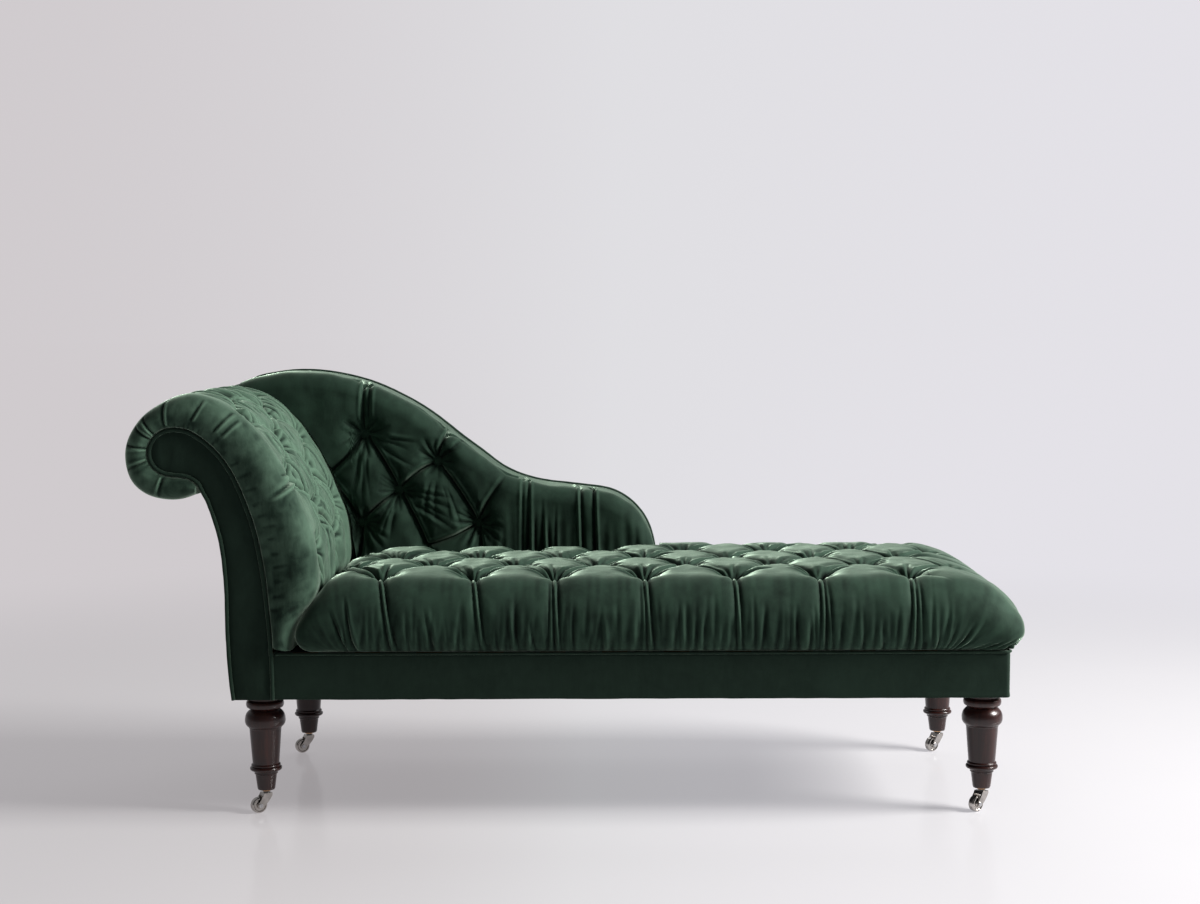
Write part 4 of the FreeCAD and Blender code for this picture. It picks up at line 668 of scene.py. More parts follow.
def seat_relief(U, V):
    R = Relief(U, V, 3)
    g = R.g
    vlo, vhi, uhi, ulo = V.min(), V.max(), U.max(), U.min()
    rows = sorted(SEAT_ROWS)
    DB, DM = 0.032, 0.0075
    every = [(x, y) for y in rows for x in SEAT_ROWS[y]]
    for x, y in every:
        shallow = 0.72 if x > 0.75 else 1.0
        R.button(x, y, DB * shallow, 0.074, 2.9)
    links = {p: [] for p in every}
    for ya, yb in zip(rows, rows[1:]):
        for xa in SEAT_ROWS[ya]:
            for xb in SEAT_ROWS[yb]:
                if abs(xa - xb) < 0.125:
                    a, b = (xa, ya), (xb, yb)
                    bow = g.uniform(0.003, 0.008) * g.choice([-1, 1])
                    end = 0.6 if xb > 0.75 or xa > 0.75 else 1.0
                    R.valley(a, b, 0.0150, (DM + g.uniform(-0.0015, 0.0015)) * end, 0.0150 * end, 0.030, 1.7, bow)
                    side = g.choice([-1, 1])
                    R.fold(a, b, 0.0068, 0.0068 * end, 0.0028, 0.45, side, bow, 0.04, 0.04)
                    # a second fold lies beside the first near one of its buttons
                    p, q = (a, b) if g.uniform() < 0.5 else (b, a)
                    off = g.uniform(0.008, 0.013) * g.choice([-1, 1])
                    nx, ny = -(q[1] - p[1]), q[0] - p[0]
                    ln = math.hypot(nx, ny)
                    f = g.uniform(0.45, 0.75)
                    R.fold((p[0] + nx / ln * off * 0.6, p[1] + ny / ln * off * 0.6), (p[0] + (q[0] - p[0]) * f + nx / ln * off, p[1] + (q[1] - p[1]) * f + ny / ln * off), 0.0040, 0.0015, 0.0028, 0.4, side, bow * 0.6, 0.15, 0.5)
                    links[a].append(math.atan2(b[1] - a[1], b[0] - a[0]))
                    links[b].append(math.atan2(a[1] - b[1], a[0] - b[0]))
    # front border: from each button two narrow pleats run down to the rail
    drifts = dict(zip(SEAT_ROWS[-0.240], (0.036, 0.026, 0.008, 0.012, 0.009, 0.000, -0.006)))
    for x, drift in drifts.items():
        mid = (x + 0.45 * drift, -0.330)
        R.valley((x, -0.240), mid, 0.0200, 0.0072, 0.0035, 0.036, 2.0)
        R.valley(mid, (x + drift, vlo), 0.0035, 0.0028, 0.0022, 0.026, 1.7)
        lines = [(-0.0068, 1), (0.0060, -1)] + ([(0.0185, -1)] if x > 0.40 else []) + ([(-0.0170, 1)] if -0.05 < x < 0.2 else [])
        for n, (o, side) in enumerate(lines):
            start = -0.252 if n < 2 else -0.275
            R.fold((x + o * (0.75 if n < 2 else 0.6), start), (x + drift + o * 1.10, vlo), 0.0048 if n < 2 else 0.0026, 0.0038 if n < 2 else 0.0030, 0.0022, 0.50, side, 0.001 * side, 0.05 if n < 2 else 0.35, 0.0)
        links[(x, -0.240)].append(-math.pi / 2)
    # a few lone folds of the front border
    for x0, v0, x1, d in ((-0.300, -0.360, -0.283, 0.0042), (-0.120, -0.330, -0.112, 0.0036), (-0.090, -0.380, -0.078, 0.0040), (0.045, -0.370, 0.050, 0.0032), (0.200, -0.350, 0.202, 0.0030), (0.255, -0.372, 0.252, 0.0034),
                          (0.420, -0.375, 0.417, 0.0028), (0.560, -0.360, 0.563, 0.0028), (0.600, -0.380, 0.604, 0.0026), (0.735, -0.372, 0.732, 0.0026), (-0.462, -0.330, -0.432, 0.0052), (-0.500, -0.352, -0.474, 0.0045)):
        R.fold((x0, v0), (x1, vlo + 0.004), d * 0.6, d, 0.0030, 0.45, g.choice([-1, 1]), g.uniform(-0.003, 0.003), 0.45, 0.0)
    # gathers, closest together at the rail
    def gathers(lo, hi, at, vertical, sign, amount=1.0, tall=(0.05, 0.125)):
        s = lo
        while s < hi:
            s += g.uniform(0.0105, 0.0215)
            h = g.uniform(*tall)
            dep = g.uniform(0.0014, 0.0040) * amount
            w = g.uniform(0.0034, 0.0066)
            lean = g.uniform(-0.009, 0.009)
            if vertical:
                R.soft((s, at), (s + lean, at + sign * h), dep, dep * 0.7, w, g.uniform(-0.002, 0.002), 0.04, 0.62)
            else:
                R.soft((at, s), (at + sign * h, s + lean), dep, dep * 0.7, w, g.uniform(-0.002, 0.002), 0.04, 0.62)
    gathers(-0.50, 0.80, vlo, True, 1)
    gathers(-0.50, 0.80, vlo, True, 1, 0.60, (0.09, 0.165))
    gathers(0.18, 0.80, vhi, True, -1)
    gathers(-0.30, 0.30, uhi, False, -1, 0.9)
    # rear border
    for x in SEAT_ROWS[0.260]:
        drift = g.uniform(-0.008, 0.010)
        R.valley((x, 0.260), (x + drift, vhi), 0.0200, 0.0085, 0.0040, 0.044, 2.3)
        R.fold((x - 0.003, 0.274), (x + drift - 0.0035, vhi), 0.0060, 0.0042, 0.0027, 0.35, -1, 0.0, 0.05, 0.0)
        R.fold((x + 0.004, 0.274), (x + drift + 0.0065, vhi), 0.0056, 0.0040, 0.0027, 0.45, 1, 0.0, 0.05, 0.0)
        links[(x, 0.260)].append(math.pi / 2)
    # towards the shaped back, the head rest and the foot end
    for x in SEAT_ROWS[0.135]:
        if x < 0.16:
            for dx in (-0.052, 0.052):
                R.valley((x, 0.135), (x + dx, 0.215), 0.020, 0.013, 0.012, 0.048, 2.3)
                R.fold((x, 0.135), (x + dx, 0.215), 0.0055, 0.0050, 0.0028, 0.4, 1, 0.004, 0.06, 0.0)
                links[(x, 0.135)].append(math.atan2(0.08, dx))
    for y in (-0.115, 0.135):
        x = SEAT_ROWS[y][0]
        R.valley((x, y), (ulo, y), 0.020, 0.012, 0.006, 0.048, 2.3)
        R.fold((x, y), (ulo, y + 0.004), 0.0055, 0.0040, 0.0028, 0.4, 1, 0.004, 0.06, 0.0)
    for x, y in ((-0.393, -0.240), (-0.385, 0.010)):
        for ey in (y - 0.075, y + 0.09):
            if ey > -0.30:
                R.valley((x, y), (-0.512, ey), 0.020, 0.012, 0.010, 0.046, 2.3, 0.005)
                R.fold((x, y), (-0.512, ey), 0.0055, 0.0045, 0.0028, 0.4, 1, 0.005, 0.06, 0.0)
                links[(x, y)].append(math.atan2(ey - y, -0.512 - x))
    for x, y, ty in ((0.772, -0.115, -0.150), (0.766, 0.135, 0.160), (0.678, 0.010, 0.010)):
        R.valley((x, y), (uhi - 0.02, ty), 0.014, 0.0060, 0.0020, 0.040, 2.3, 0.004)
        R.fold((x, y), (x + (uhi - x) * 0.55, y + (ty - y) * 0.55), 0.0042, 0.0010, 0.0030, 0.4, 1, 0.003, 0.08, 0.6)
    for x, y, tx, ty in ((0.665, -0.240, 0.742, -0.300), (0.688, 0.260, 0.760, 0.315)):
        R.valley((x, y), (tx, ty), 0.018, 0.0060, 0.0, 0.040, 2.3, 0.004)
    # corner pleats at the foot end
    for vend, sgn in ((vlo, 1), (vhi, -1)):
        for du, dv, dep, ln in ((0.118, 0.0, 0.0030, 0.052), (0.092, 0.0, 0.0048, 0.070), (0.068, 0.0, 0.0056, 0.084), (0.044, 0.0, 0.0062, 0.096), (0.016, 0.0, 0.0062, 0.100),
                                (0.0, 0.014, 0.0062, 0.100), (0.0, 0.042, 0.0060, 0.092), (0.0, 0.070, 0.0050, 0.078), (0.0, 0.100, 0.0036, 0.060)):
            rim = (uhi - du, vend + sgn * dv)
            tilt = 0.62 * (1 - (du + dv) / 0.13)
            di = (-tilt, sgn) if dv == 0 else (-1, sgn * tilt)
            q = math.hypot(*di)
            R.fold(rim, (rim[0] + di[0] / q * ln, rim[1] + di[1] / q * ln), dep, dep * 0.5, 0.0042, 0.55, g.choice([-1, 1]), g.uniform(-0.003, 0.003), 0.0, 0.55)
    for (x, y), dirs in links.items():
        front_row = y == -0.240
        back_side = lambda a: 1.15 if math.sin(a) > 0.25 else (0.35 if abs(math.sin(a)) < 0.25 else (0.45 if front_row else 0.9))
        R.star(x, y, dirs, 21 if x < 0.75 else 9, 0.066 if x < 0.75 else 0.040, 0.0060, back_side)
    wr = 0.0007 * soft_noise(U, V, 0.030, 51) + 0.0012 * soft_noise(U, V, 0.080, 52)
    return R, wr


def seat_pad():
    P, U, V = seat_base()
    R, wr = seat_relief(U, V)
    deep = R.depth(0.0345)
    N = grid_normals(P)
    vlo, vhi, uhi, ulo = V.min(), V.max(), U.max(), U.min()
    edge = np.minimum(np.minimum(V - vlo, vhi - V), np.minimum(uhi - U, U - ulo))
    keep = 0.08 + 0.92 * step_up(0.003, 0.026, edge)
    H = -(deep + R.crisp * (1 - 0.35 * np.clip(deep / 0.0345, 0, 1))) * keep + wr * keep
    roll = np.where((P[..., 0] < 0.1725) & (P[..., 1] > 0.150), step_up(0.158, 0.203, P[..., 1]), 0)
    Q = P + N * H[..., None]
    Q[..., 2] -= 0.020 * roll
    pinned = np.clip(np.exp(-R.near / 0.003) * 0.8, 0, 0.8)
    for bs, bt in R.dots:
        pinned = np.maximum(pinned, (np.hypot(U - bs, V - bt) < 0.011).astype(float))
    pinned[0, :] = pinned[-1, :] = pinned[:, 0] = pinned[:, -1] = 1
    Q = cloth(Q, pinned, Q.copy(), 14, np.full(U.shape, 0.012), np.full(U.shape, 0.012), np.full(U.shape, 0.00004), np.full(U.shape, 0.10), 0.0)
    # beside the shaped back the surface turns down and goes on as a wall
    m = (P[..., 0] < 0.1745) & (P[..., 1] > 0.2000)
    extra = np.where(m, P[..., 1] - 0.2000, 0)
    wall_z = np.maximum(Q[..., 2] - extra * 2.0, Z0 + 0.0005)
    Q[..., 2] = np.where(m, wall_z, Q[..., 2])
    Q[..., 1] = np.where(m, 0.2000, np.where((P[..., 0] < 0.1745), np.minimum(Q[..., 1], 0.2000), Q[..., 1]))
    Q[..., 2] = np.maximum(Q[..., 2], Z0)
    Q[0, :, 2] = Q[-1, :, 2] = Z0
    Q[:, 0, 2] = Q[:, -1, 2] = Z0
    obj = closed_mesh("seat_pad_velvet", Q, rim=True)
    front = 1 - step_up(-0.26, -0.22, V)
    # painted shade in the tuft hollows and crease lines, painted highlights on the ridges beside them, and a painted
    # highlight towards the foot end where the key light falls; the rest is the pile's random tone
    nap_and_shade = 0.5 + 0.15 * soft_noise(U, V, 0.045, 61) + 0.11 * soft_noise(U, V, 0.016, 62) + 0.24 * front * soft_noise(U, V * 0.11, 0.0085, 63) - 0.16 * np.clip(deep / 0.034, 0, 1) + 0.16 * step_up(0.45, 0.95, U) - 0.48 * lines(R)
    paint(obj, "nap_and_shade", np.clip(nap_and_shade, 0, 1))
    return obj, R.dots, (U, V, Q)


seat, seat_dots, seat_grid = seat_pad()
dress(seat, V_SEAT, "velvet", "seat_cover", "seat_foam")


# =====================================================================================================================
# covered buttons
# =====================================================================================================================
def button_mesh(name, places, r, seed):
    """Fabric-covered domes with the little folds that the cloth makes under a button's rim."""
    g = np.random.default_rng(seed)
    verts, faces = [], []
    rings = [(0.0, 1.0), (0.30, 0.97), (0.58, 0.86), (0.80, 0.66), (0.94, 0.38), (1.0, 0.10), (0.985, -0.14), (0.90, -0.32)]
    seg = 28
    for c, nrm in places:
        nrm = Vector(nrm).normalized()
        a = nrm.orthogonal().normalized()
        b = nrm.cross(a)
        spin = g.uniform(0, 6.28)
        base = len(verts)
        verts.append(tuple(Vector(c) + nrm * 0.0052 * rings[0][1]))
        for rr, hh in rings[1:]:
            for k in range(seg):
                th = 2 * math.pi * k / seg + spin
                fold = 1 + (0.045 * math.cos(9 * th + spin) if rr > 0.85 else 0.012 * math.cos(5 * th)) * (0.4 if hh > 0.3 else 1.0)
                q = Vector(c) + (a * math.cos(th) + b * math.sin(th)) * r * rr * fold + nrm * 0.0052 * hh
                verts.append(tuple(q))
        for k in range(seg):
            faces.append((base, base + 1 + k, base + 1 + (k + 1) % seg))
        for j in range(len(rings) - 2):
            for k in range(seg):
                p, q = base + 1 + j * seg, base + 1 + (j + 1) * seg
                faces.append((p + k, q + k, q + (k + 1) % seg, p + (k + 1) % seg))
        faces.append(tuple(base + 1 + (len(rings) - 2) * seg + k for k in range(seg - 1, -1, -1)))
    return mesh_from(name, verts, faces)


def on_grid(grid, s, t, lift):
    U, V, Q = grid
    i = int(np.argmin(np.abs(U[:, 0] - s)))
    j = int(np.argmin(np.abs(V[0] - t)))
    c = Q[max(i - 2, 0):i + 3, max(j - 2, 0):j + 3].reshape(-1, 3).mean(0)
    r = max(2, int(0.035 / GAP))
    i0, i1, j0, j1 = max(i - r, 0), min(i + r, Q.shape[0] - 1), max(j - r, 0), min(j + r, Q.shape[1] - 1)
    n = np.cross(Q[i1, j] - Q[i0, j], Q[i, j1] - Q[i, j0])
    n = n / np.linalg.norm(n)
    return tuple(c + n * lift), tuple(n)


seat_buttons = button_mesh("seat_buttons_velvet", [on_grid(seat_grid, s, t, 0.0022) for s, t in seat_dots], 0.0108, 5)
dress(seat_buttons, V_KNOB, "button_velvet", "seat_buttons")

# =====================================================================================================================
# head pad
# =====================================================================================================================
PAD = [(-562, 334), (-557, 365), (-545, 398), (-521, 430), (-511, 463), (-511, 500), (-514, 532), (-520, 562), (-533, 600), (-550, 640),
       (-569, 680), (-588, 715), (-612, 750), (-639, 781), (-668, 806), (-699, 826), (-732, 838), (-762, 841), (-790, 833), (-818, 819),
       (-844, 801), (-864, 779), (-878, 755), (-885, 726), (-883, 695), (-871, 668), (-851, 648), (-824, 636), (-794, 632), (-766, 636),
       (-742, 645)]
INNER = [(-600, 237), (-600, 285), (-602, 338), (-605, 382), (-609, 426), (-614, 475), (-622, 527), (-632, 574), (-645, 615), (-659, 651),
         (-674, 683), (-692, 711), (-713, 735), (-736, 754), (-760, 767), (-785, 771), (-808, 766), (-825, 752), (-833, 732), (-831, 711),
         (-820, 695), (-803, 686), (-784, 683), (-765, 681), (-748, 674), (-735, 661)]
OUTER = [(-735, 661), (-724, 638), (-714, 613), (-705, 585), (-697, 553), (-692, 520), (-689, 484), (-687, 441), (-687, 397), (-686, 353),
         (-684, 310), (-681, 272), (-677, 237)]
HUMP = [(-775, 838), (-745, 851), (-705, 862), (-662, 868), (-616, 869), (-570, 865), (-524, 856), (-478, 843), (-430, 823), (-375, 794),
        (-322, 758), (-272, 718), (-220, 679), (-180, 649), (-135, 628), (-85, 615), (-30, 608), (20, 602), (62, 595), (95, 580), (124, 556),
        (146, 525), (159, 490), (166, 450), (168, 400), (168, 334)]


def mm(pts):
    return np.array(pts, float) / 1000


def left_of(p):
    """Unit normals to the left of travel in the XZ plane."""
    d = np.gradient(p, axis=0)
    d = d / np.linalg.norm(d, axis=1, keepdims=True)
    return np.stack([-d[:, 1], d[:, 0]], 1)


HEAD_COLS = (-0.240, -0.118, 0.005, 0.128)
HEAD_ROWS = [(0.205, (-0.240, 0.005)), (0.283, (-0.118, 0.128)), (0.361, (-0.240, 0.005)), (0.439, (-0.118, 0.128)), (0.515, (-0.240, 0.005)), (0.590, (-0.118, 0.128))]


def head_base():
    out = natural(mm(PAD), step=GAP)
    inn = natural(mm(INNER), step=0.001)
    inn = inn - left_of(inn) * 0.0052
    so = arc(out)
    # the point of the facing's edge that belongs to each point of the surface
    idx = np.array([np.argmin(np.hypot(*(inn - q).T)) for q in out], float)
    idx = np.maximum.accumulate(idx)
    half = max(3, int(round(0.040 / GAP)))
    idx = np.convolve(np.r_[np.full(half, idx[0]), idx, np.full(half, idx[-1])], np.ones(2 * half + 1) / (2 * half + 1), "valid")
    sl = np.arange(len(inn))
    I = np.stack([np.interp(idx, sl, inn[:, c]) for c in (0, 1)], 1)
    W = np.linalg.norm(out - I, axis=1)
    E = (out - I) / W[:, None]
    y_face, y_rear = -0.343, 0.3195
    corner = 0.046
    flat = np.arange(y_face + corner, y_rear + 1e-6, GAP)
    q1 = 26
    q2 = 18
    grid, vco, around = [], [], []
    for i in range(len(out)):
        w = W[i]
        c = min(corner, w * 0.62)
        th = np.linspace(0, math.pi / 2, q1)
        r = (w - c) + c * np.sin(th) ** 0.92
        y = y_face + corner * (1 - np.cos(th) ** 0.92)
        rf = np.linspace(0, 1, q2, endpoint=False)
        bulge = np.sin(np.pi * np.clip(rf * 0.5, 0, 0.5)) ** 0.55
        rr = np.r_[(w - c) * rf, r, np.full(len(flat) - 1, w)]
        yy = np.r_[-0.3262 + (y_face + 0.3262) * bulge, y, flat[1:]]
        q = I[i][None] + E[i][None] * rr[:, None]
        grid.append(np.stack([q[:, 0], yy, q[:, 1]], 1))
        vc = np.r_[0, np.cumsum(np.hypot(np.diff(rr), np.diff(yy)))]
        vco.append(vc - vc[q2 + q1 - 1] + flat[0])
        ra = np.r_[w * 0.66, w * 0.33, 0.0, np.zeros(7)]
        ya = np.r_[y_rear, y_rear, y_rear, np.linspace(y_rear, -0.3262, 9)[1:-1]]
        q = I[i][None] + E[i][None] * ra[:, None]
        around.append(np.stack([q[:, 0], ya, q[:, 1]], 1))
    P = np.array(grid)
    V = np.array(vco)
    U = np.repeat(so[:, None], P.shape[1], 1)
    return P, U, V, np.array(around)


def head_relief(U, V):
    R = Relief(U, V, 9)
    g = R.g
    last = U.max()
    v0 = float(V[:, 0].mean())
    DB, DM = 0.031, 0.0090
    every = [(u, y) for u, ys in HEAD_ROWS for y in ys]
    links = {p: [] for p in every}
    for p in every:
        R.button(p[0], p[1], DB, 0.066, 2.5)

    def pleat(a, b, d0=0.0140, dm=0.0062, d1=0.0140, reach=0.038, bow=None, f0=0.0052, f1=0.0052, e0=0.06, e1=0.06, side=None):
        bow = g.uniform(0.003, 0.008) * g.choice([-1, 1]) if bow is None else bow
        side = g.choice([-1, 1]) if side is None else side
        R.valley(a, b, d0, dm, d1, reach, 2.0, bow)
        R.fold(a, b, f0, f1, 0.0030, 0.45, side, bow, e0, e1)
        if a in links:
            links[a].append(math.atan2(b[1] - a[1], b[0] - a[0]))
        if b in links:
            links[b].append(math.atan2(a[1] - b[1], a[0] - b[0]))

    for (ua, ya), (ub, yb) in zip(HEAD_ROWS, HEAD_ROWS[1:]):
        for a in ya:
            for b in yb:
                if abs(a - b) < 0.15:
                    pleat((ua, a), (ub, b))
                    o = g.uniform(0.008, 0.013) * g.choice([-1, 1])
                    f = g.uniform(0.4, 0.8)
                    R.fold((ua + o * 0.5, a + o), (ua + (ub - ua) * f + o * 0.5, a + (b - a) * f + o), 0.0038, 0.0016, 0.0028, 0.4, g.choice([-1, 1]), g.uniform(-0.004, 0.004), 0.15, 0.5)
    # from the last row the pleats run on over the scroll, and from the first row down behind the seat
    for y, e in ((-0.118, -0.112), (0.128, 0.134)):
        pleat((0.590, y), (0.760, (y + e) / 2), d1=0.007, dm=0.011, f1=0.0045, bow=0.006, e1=0.0)
        pleat((0.760, (y + e) / 2), (last, e), 0.007, 0.0055, 0.003, 0.036, -0.006, 0.0045, 0.0030, 0.0, 0.0)
    for y, e in ((-0.240, -0.236), (0.005, 0.008)):
        pleat((0.515, y), (0.660, e), d1=0.008, dm=0.011, f1=0.0050, bow=-0.006, e1=0.0)
        pleat((0.660, e), (last, e), 0.008, 0.0060, 0.003, 0.036, 0.008, 0.0050, 0.0030, 0.0, 0.0)
    for y in (-0.118, 0.128):
        pleat((0.283, y), (0.10, y + 0.012), d1=0.008, dm=0.011)
    for y in (-0.240, 0.005):
        pleat((0.205, y), (0.06, y - 0.010), d1=0.008, dm=0.011)
    for a, b in (((0.205, -0.240), (0.110, -0.165)), ((0.205, 0.005), (0.110, -0.070)), ((0.205, 0.005), (0.110, 0.070)), ((0.361, 0.005), (0.42, 0.07))):
        pleat(a, b, d1=0.008, dm=0.010, e1=0.3)
    # long crumples that run along the height between the columns
    for y in (-0.205, -0.182, -0.160, -0.085, -0.060, -0.035, 0.040, 0.066, 0.090, 0.165, 0.185):
        u0 = g.uniform(0.50, 0.60)
        R.fold((u0, y + g.uniform(-0.010, 0.010)), (last - g.uniform(0.0, 0.12), y + g.uniform(-0.012, 0.012)), 0.0036, 0.0022, 0.0040, 0.55, g.choice([-1, 1]), g.uniform(-0.010, 0.010), 0.25, 0.3)
    for k in range(46):
        u, y = g.uniform(0.08, 0.62), g.uniform(-0.225, 0.19)
        ln = g.uniform(0.035, 0.085)
        R.fold((u, y), (u + ln, y + g.uniform(-0.022, 0.022)), g.uniform(0.0014, 0.0030), 0.0010, g.uniform(0.0028, 0.0042), 0.6, g.choice([-1, 1]), g.uniform(-0.006, 0.006), 0.3, 0.5)
    # pleats over the front roll: v runs from the facing's piping (v0) over the roll to the inside face
    for u0, va, u1, vb, d0, d1, w in HEAD_PLEATS:
        R.fold((u0, va), (u1, vb), d0, d1, w, 0.5, g.choice([-1, 1]), g.uniform(-0.0015, 0.0015), 0.10, 0.25)
    for a, b, d, w, bow in HEAD_CREASES:
        R.fold(a, b, d * 1.35, d * 0.8, w * 1.1, 0.6, 1 if bow > 0 else -1, bow, 0.15, 0.3)
    for y in np.arange(-0.215, 0.19, 0.021):
        u0 = g.uniform(0.44, 0.58)
        R.fold((u0, y + g.uniform(-0.006, 0.006)), (u0 + g.uniform(0.10, 0.26), y + g.uniform(-0.016, 0.016)), g.uniform(0.0030, 0.0050), 0.0018, g.uniform(0.0022, 0.0030), 0.6, g.choice([-1, 1]), g.uniform(-0.010, 0.010), 0.25, 0.3)
    for u, y in every:
        front = y < -0.2
        R.star(u, y, links[(u, y)], 15, 0.046, 0.0038, lambda a: 0.35 if (front and math.sin(a) < -0.3) else 1.0)
    # fine gathers at the piping round the scroll
    s = 0.55
    while s < last - 0.02:
        s += g.uniform(0.010, 0.020)
        R.soft((s, v0), (s + g.uniform(-0.004, 0.004), v0 + g.uniform(0.016, 0.040)), g.uniform(0.0006, 0.0016), 0.0006, g.uniform(0.0030, 0.0045), 0.0, 0.0, 0.6)
    s = 0.06
    while s < 0.55:
        s += g.uniform(0.020, 0.045)
        R.soft((s, v0), (s + g.uniform(-0.004, 0.004), v0 + g.uniform(0.016, 0.035)), g.uniform(0.0004, 0.0010), 0.0004, g.uniform(0.0035, 0.0050), 0.0, 0.0, 0.6)
    inside = step_up(-0.30, -0.255, V)
    wr = 0.0006 * soft_noise(U, V, 0.035, 95) + 0.0009 * soft_noise(U, V, 0.09, 96) + 0.0010 * inside * soft_noise(U * 0.5, V, 0.020, 94)
    return R, wr, inside


HEAD_PLEATS = [
    (0.515, -0.376, 0.512, -0.318, 0.0034, 0.0018, 0.0024), (0.535, -0.377, 0.530, -0.312, 0.0036, 0.0020, 0.0024), (0.600, -0.377, 0.594, -0.320, 0.0036, 0.0018, 0.0024),
    (0.685, -0.377, 0.676, -0.318, 0.0044, 0.0022, 0.0024), (0.735, -0.378, 0.728, -0.320, 0.0046, 0.0024, 0.0024), (0.757, -0.378, 0.752, -0.322, 0.0042, 0.0022, 0.0022),
    (0.795, -0.380, 0.795, -0.320, 0.0050, 0.0028, 0.0026), (0.845, -0.380, 0.850, -0.320, 0.0048, 0.0026, 0.0026), (0.935, -0.377, 0.940, -0.326, 0.0042, 0.0022, 0.0024),
    (0.361, -0.262, 0.338, -0.376, 0.0072, 0.0040, 0.0026), (0.354, -0.275, 0.346, -0.345, 0.0044, 0.0014, 0.0022), (0.368, -0.272, 0.372, -0.330, 0.0036, 0.0010, 0.0022)]
# the long creases between the buttons on the inside face: from, to, depth, width, bow
HEAD_CREASES = [
    ((0.361, -0.240), (0.205, 0.005), 0.0058, 0.0024, 0.024), ((0.455, -0.215), (0.215, -0.150), 0.0046, 0.0022, -0.016), ((0.400, -0.110), (0.240, 0.000), 0.0050, 0.0022, 0.014),
    ((0.361, 0.005), (0.215, 0.120), 0.0052, 0.0022, 0.018), ((0.205, -0.240), (0.085, -0.215), 0.0056, 0.0024, -0.010), ((0.470, -0.228), (0.405, -0.236), 0.0060, 0.0026, 0.004),
    ((0.330, -0.200), (0.235, -0.165), 0.0040, 0.0020, 0.010), ((0.325, 0.030), (0.215, 0.060), 0.0044, 0.0022, -0.010), ((0.440, -0.060), (0.300, -0.010), 0.0046, 0.0022, 0.014),
    ((0.440, 0.060), (0.290, 0.110), 0.0046, 0.0022, -0.012), ((0.520, -0.180), (0.380, -0.150), 0.0044, 0.0022, 0.012), ((0.540, -0.090), (0.420, -0.040), 0.0044, 0.0024, 0.010)]


def head_pad():
    P, U, V, around = head_base()
    R, wr, inside = head_relief(U, V)
    deep = R.depth(0.0335)
    N = -grid_normals(P)
    edge = np.minimum(np.minimum(V - V[:, :1], V[:, -1:] - V), np.minimum(U, U.max() - U))
    keep = 0.30 + 0.70 * np.clip(edge / 0.010, 0, 1)
    # where the shaped back's pad begins, the head pad is tucked
    tuck = step_up(0.17, 0.205, V) * (1 - step_up(0.60, 0.66, U))
    H = -(deep + R.crisp * (1 - 0.35 * np.clip(deep / 0.0335, 0, 1))) * keep + wr * keep - 0.010 * tuck
    Q = P + N * H[..., None]
    pinned = np.clip(np.exp(-R.near / 0.003) * 0.8, 0, 0.8)
    for bs, bt in R.dots:
        pinned = np.maximum(pinned, (np.hypot(U - bs, V - bt) < 0.011).astype(float))
    pinned[0, :] = pinned[-1, :] = pinned[:, 0] = pinned[:, -1] = 1
    Q = cloth(Q, pinned, Q.copy(), 14, np.full(U.shape, 0.012), 0.012 + 0.012 * inside, np.full(U.shape, -0.00003), np.full(U.shape, 0.10), 0.0)
    obj = closed_mesh("head_pad_velvet", Q, around=around, flip=True)
    # painted shade in the tuft hollows and crease lines and on the front face next to the facing's piping, painted
    # highlights on the ridges and where the pad turns into the inside face; the rest is the pile's random tone
    nap_and_shade = 0.5 + 0.15 * soft_noise(U, V, 0.045, 101) + 0.14 * soft_noise(U, V, 0.016, 102) - 0.26 * np.clip(deep / 0.033, 0, 1) - 0.34 * (1 - step_up(-0.385, -0.290, V)) + 0.14 * step_up(-0.31, -0.24, V) - 0.78 * lines(R)
    flat_nap_and_shade = np.concatenate([np.clip(nap_and_shade, 0, 1), np.full((len(nap_and_shade), around.shape[1]), 0.5)], 1)
    paint(obj, "nap_and_shade", flat_nap_and_shade)
    return obj, R.dots, (U, V, Q)


head, head_dots, head_grid = head_pad()
dress(head, V_HEAD_PAINTED_LIGHT, "velvet", "head_cover", "head_foam")


def on_head(s, t):
    U, V, Q = head_grid
    i = int(np.argmin(np.abs(U[:, 0] - s)))
    j = int(np.argmin(np.abs(V[i] - t)))
    c = Q[i - 2:i + 3, j - 2:j + 3].reshape(-1, 3).mean(0)
    r = max(2, int(0.035 / GAP))
    n = -np.cross(Q[min(i + r, len(Q) - 1), j] - Q[max(i - r, 0), j], Q[i, min(j + r, Q.shape[1] - 1)] - Q[i, j - r])
    n = n / np.linalg.norm(n)
    return tuple(c + n * 0.002), tuple(n)


head_buttons = button_mesh("head_buttons_velvet", [on_head(s, t) for s, t in head_dots], 0.0108, 6)
dress(head_buttons, V_KNOB, "button_velvet", "head_buttons")


# =====================================================================================================================
# shaped back
# =====================================================================================================================
BACK_DOTS = [(-0.482, 0.730), (-0.320, 0.668), (-0.407, 0.603), (-0.231, 0.529), (-0.492, 0.531)]


